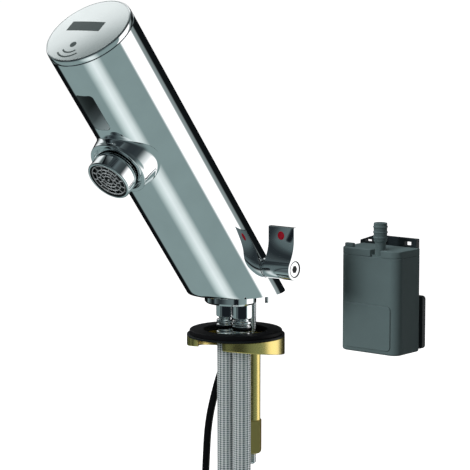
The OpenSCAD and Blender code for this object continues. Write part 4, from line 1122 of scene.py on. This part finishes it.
def sleeve_nut():
    """Brass sleeve with a hexagon below: the radius is the lesser of hexagon and chamfer."""
    top = EAR_BOTTOM - 0.00005
    hex_top = top - SLEEVE_LEN
    low, sleeve_low = hex_top - NUT_LEN, hex_top - 0.0002
    sleeve = eased([(STUD_R, top, 0), (SLEEVE_R, top, 0.0003), (SLEEVE_R, sleeve_low, 0),
                    (STUD_R, sleeve_low, 0)], steps=4)
    piece("long_sleeve", turned(sleeve, STUD_PLACE, 72), "dark_brass", "nut",
          material=MATERIALS["brass"])
    rows = np.array([(STUD_R, low), (NUT_R - 0.0013, low), (NUT_R - 0.0004, low + 0.0005),
                     (NUT_R + 0.0001, low + 0.0013), (NUT_R + 0.0001, hex_top - 0.0009),
                     (NUT_R - 0.0003, hex_top - 0.0003), (NUT_R - 0.001, hex_top),
                     (STUD_R, hex_top)])
    piece("hexagon_end", turned(rows, STUD_PLACE, 144, False, lambda a, h: hexagon(a, NUT_R)),
          "dark_brass", "nut", "sleeve_nut", 20)


sleeve_nut()


# Battery box: its seam and front face, its outline (x, y, radius) seen from above, the place
# of its panel, the bore and neck of its conduit, and the nub and the skirt of its lid
SEAM = BOX_H - LID_H
BOX_FRONT = -BOX_D / 2
BOX_CORNERS = [(BOX_W / 2, BOX_FRONT, BOX_ROUND), (BOX_W / 2, -BOX_FRONT, BACK_ROUND),
               (-BOX_W / 2, -BOX_FRONT, BACK_ROUND), (-BOX_W / 2, BOX_FRONT, BOX_ROUND)]
PANEL_PLACE = place(np.array(BOX_AT) + [0, BOX_FRONT, PANEL_LOW + PANEL_H / 2],
                    (1, 0, 0), (0, 0, 1), (0, -1, 0))
CONDUIT_BORE_R = 0.0023
CONDUIT_NECK_R = 0.0032
NUB_AT = (-0.0156, -0.0078)
NUB_SIZE = (0.0056, 0.0026)
SKIRT_T = 0.001
SKIRT_DROP = 0.003


def cut_out(obj, shape):
    """Takes a closed solid away from a piece by Blender's exact boolean, then removes it."""
    mesh = new_mesh("cutter", shape)
    bm = bmesh.new()
    bm.from_mesh(mesh)
    bmesh.ops.recalc_face_normals(bm, faces=bm.faces)
    bm.to_mesh(mesh)
    bm.free()
    cutter = bpy.data.objects.new("cutter", mesh)
    bpy.context.scene.collection.objects.link(cutter)
    away = obj.modifiers.new("window", "BOOLEAN")
    away.object, away.operation, away.solver = cutter, "DIFFERENCE", "EXACT"
    obj.modifiers.move(len(obj.modifiers) - 1, 0)
    with bpy.context.temp_override(object=obj, active_object=obj, selected_objects=[obj]):
        bpy.ops.object.modifier_apply(modifier="window")
    bpy.data.objects.remove(cutter)
    bpy.data.meshes.remove(mesh)


def battery_case():
    """Case: the box's outline carried up with eased edges and down again inside by the wall's
    thickness, and the panel's window cut out of its front."""
    inside = np.array([(BOX_WALL - 0.0002, SEAM - 0.0001), (BOX_WALL, SEAM - 0.0003),
                       (BOX_WALL, BOX_BASE + 0.0005), (BOX_WALL + 0.0005, BOX_BASE)])
    rows = np.vstack([eased_ends(0, SEAM - 0.0001, 0.0014, 0.0002, 7), inside])
    case = piece("case", lofted(eased(BOX_CORNERS, True, 12), rows, BOX_PLACE), "box_plastic",
                 "case", "battery_case")
    window = rounded_rect(PANEL_W + 2 * SLACK, PANEL_H + 2 * SLACK, PANEL_ROUND + SLACK)
    cut_out(case, lofted(window, np.array([(0, -0.003), (0, 0.003)]), PANEL_PLACE))


def latch_panel():
    """Panel in the case's window: a rounded sheet with eased edges, a little proud."""
    sheet = rounded_rect(PANEL_W, PANEL_H, PANEL_ROUND)
    piece("panel", lofted(sheet, eased_ends(-0.0007, PANEL_PROUD, 0.0001, 0.0003), PANEL_PLACE),
          "box_plastic", "latch", "latch_panel")


def case_lid():
    """Lid: the box's outline, notched for the conduit, carried up with eased edges, a skirt
    that reaches down into the case and a nub on top."""
    left, right, deep = CONDUIT_X - NOTCH_W / 2, CONDUIT_X + NOTCH_W / 2, CONDUIT_Y + 0.0034
    notched = eased(BOX_CORNERS + [(left, BOX_FRONT, 0.0007), (left, deep, 0.0033),
                                   (right, deep, 0.0033), (right, BOX_FRONT, 0.0007)], True, 12)
    top = lofted(notched, eased_ends(SEAM + 0.0001, BOX_H, 0.0002, 0.0005), BOX_PLACE)
    inner = 2 * BOX_WALL + 0.0004
    ring = rounded_rect(BOX_W - inner, BOX_D - inner, BOX_ROUND - BOX_WALL)
    rows = np.array([(0, SEAM - SKIRT_DROP), (0, SEAM + SKIRT_T), (SKIRT_T, SEAM + SKIRT_T),
                     (SKIRT_T, SEAM - SKIRT_DROP)])
    skirt = (put(walls_of(ring, rows), BOX_PLACE), grid_faces(len(ring), 4, True, True))
    nub = lofted(rounded_rect(*NUB_SIZE, 0.0004, 3),
                 eased_ends(BOX_H - 0.001, BOX_H + 0.0023, 0.0001, 0.0003),
                 upright_place(*(np.array(BOX_AT) + [*NUB_AT, 0])))
    piece("lid", join(top, skirt, nub), "box_plastic", "lid", "case_lid")


def conduit():
    """Ribbed spout on the lid, turned, with its bore: a neck, a shoulder and three ribs."""
    top, r, foot, valley = BOX_H + CONDUIT_H, CONDUIT_R, SEAM + 0.0003, CONDUIT_R - 0.0004
    bore, neck = CONDUIT_BORE_R, CONDUIT_NECK_R
    rows = [(bore, foot, 0), (neck, foot, 0), (neck, BOX_H + 0.0042, 0.0003),
            (valley, BOX_H + 0.0050, 0.0003)]
    for rib in (0.0064, 0.0095, 0.0126):
        low = BOX_H + rib
        rows += [(valley, low, 0.0001), (r, low + 0.0003, 0.0002), (r, low + 0.0008, 0.0002),
                 (valley, low + 0.0012, 0.0002)]
    rows += [(valley, top, 0.0003), (bore + 0.0001, top, 0.0002), (bore, BOX_H, 0)]
    where = upright_place(BOX_AT[0] + CONDUIT_X, BOX_AT[1] + CONDUIT_Y, BOX_AT[2])
    piece("conduit", turned(eased(rows, True, 3), where, 64, True), "box_plastic", "lid",
          "conduit_spout")


battery_case()
latch_panel()
case_lid()
conduit()
softened("wall_plate", "wall_bracket", BRACKET_PLASTIC, "tap", "black_plastic", 0.0003)
# The photo's chrome doesn't mirror the box, so the box is left out of mirrored rays
for box_piece in ("case", "panel", "lid", "conduit", "wall_plate"):
    bpy.data.objects[box_piece].visible_glossy = False
for node in ("battery", "battery_contacts", "lid_seal", "latch_spring"):
    frame["nodes"][node].visible_glossy = False


# Floor and light
def floor():
    """Round pale floor far below the tap, evenly lit, which neither mirrors nor shades it."""
    sides, radius, height = 96, 30.0, -0.42
    mesh = new_mesh("floor", (around(radius, full_turn(sides), height), [range(sides)]))
    obj = bpy.data.objects.new("floor", mesh)
    material, tree, bsdf, coords = shader("pale floor")
    wire(tree, bsdf, {
        "Roughness": 0.9, "Emission Color": (1.0, 1.0, 1.0, 1), "Emission Strength": 0.9,
        "Base Color": ramp(tree, noise(tree, coords, 2.0),
                           [(0.3, (0.90, 0.90, 0.90)), (0.7, (0.93, 0.93, 0.93))])})
    mesh.materials.append(material)
    bpy.context.scene.collection.objects.link(obj)
    obj.visible_glossy = False
    obj.visible_diffuse = False


floor()

# Colours that the chrome mirrors: by degrees round the tube's axis below it, and by the cosine
# of the angle to one direction above
SIDE_BANDS = [
    (-180, (0.004, 0.005, 0.006)), (-134, (0.004, 0.005, 0.006)), (-128, (0.25, 0.34, 0.34)),
    (-54, (0.25, 0.34, 0.34)), (-40, (0.66, 0.78, 0.77)), (-29, (0.92, 1.02, 1.02)),
    (-18, (0.76, 0.86, 0.85)), (-5, (0.25, 0.34, 0.34)), (53, (0.25, 0.34, 0.34)),
    (59, (1.5, 1.5, 1.5)), (100, (1.5, 1.5, 1.5)), (105, (0.27, 0.33, 0.33)),
    (116, (0.25, 0.30, 0.30)), (122, (0.006, 0.008, 0.009)), (180, (0.004, 0.005, 0.006)),
]
UPPER_WAY = unit(np.array([-0.7, 0.6, 0.39]))
UPPER_TONES = [
    (-1.0, (0.006, 0.008, 0.01)), (-0.94, (0.012, 0.016, 0.02)), (-0.92, (0.15, 0.2, 0.205)),
    (-0.75, (0.12, 0.165, 0.17)), (-0.6, (0.06, 0.08, 0.085)), (-0.45, (0.03, 0.04, 0.045)),
    (-0.3, (0.03, 0.04, 0.045)), (-0.15, (0.07, 0.09, 0.095)), (-0.05, (0.12, 0.16, 0.17)),
    (0.05, (0.03, 0.04, 0.045)), (0.12, (0.006, 0.008, 0.01)), (0.44, (0.006, 0.008, 0.01)),
    (0.56, (0.13, 0.16, 0.16)), (0.73, (0.12, 0.15, 0.15)), (0.785, (0.46, 0.52, 0.52)),
    (0.825, (1.0, 1.05, 1.05)), (1.0, (1.05, 1.1, 1.1)),
]
DULL_LIGHT = (0.12, 0.12, 0.12, 1)
SEEN_WHITE = (1.2, 1.2, 1.2, 1)


def mixed(tree, factor, one, two):
    """Colour that goes from the one to the two as the factor goes from 0 to 1."""
    return add(tree, "Mix", {"Factor": factor, 6: one, 7: two}, 2, data_type="RGBA")


def studio():
    """Studio round the tap: for mirrored rays the colour runs in bands by the angle round
    the tube's axis below it, and by the angle to one direction above; seen directly it is
    white, and it lights dull surfaces evenly."""
    world = bpy.data.worlds.new("studio")
    bpy.context.scene.world = world
    world.use_nodes = True
    tree = world.node_tree
    coords = add(tree, "TexCoord", {}, "Generated")
    ahead = unit(VIEW_BACK - (VIEW_BACK @ AXIS) * AXIS)
    turn = add(tree, "Math", {0: dot(tree, coords, np.cross(AXIS, ahead)),
                              1: dot(tree, coords, ahead)}, operation="ARCTAN2")
    bands = ramp(tree, share(tree, turn, -math.pi, math.pi),
                 [((degrees + 180) / 360, colour) for degrees, colour in SIDE_BANDS])
    upper = ramp(tree, share(tree, dot(tree, coords, UPPER_WAY), -1.0, 1.0),
                 [((at + 1) / 2, colour) for at, colour in UPPER_TONES])
    rise = share(tree, dot(tree, coords, AXIS), -0.2, 0.25, "SMOOTHSTEP")
    dull = mixed(tree, add(tree, "LightPath", {}, "Is Diffuse Ray"),
                 mixed(tree, rise, bands, upper), DULL_LIGHT)
    seen = mixed(tree, add(tree, "LightPath", {}, "Is Camera Ray"), dull, SEEN_WHITE)
    wire(tree, tree.nodes["Background"], {"Color": seen})


studio()


def soft_light(name, at, size, power):
    """Square area light that mirrors don't show, aimed at the origin."""
    light = bpy.data.lights.new(name, "AREA")
    light.size = size
    light.energy = power
    obj = bpy.data.objects.new(name, light)
    obj.location = at
    obj.rotation_mode = "QUATERNION"
    obj.rotation_quaternion = (-Vector(at)).to_track_quat("-Z", "Y")
    obj.visible_glossy = False
    bpy.context.scene.collection.objects.link(obj)


soft_light("key light", (-0.5, -2.3, 1.0), 0.8, 50)
soft_light("top light", (-0.5, -0.4, 2.6), 1.5, 34)

bpy.context.scene.view_settings.view_transform = "Standard"
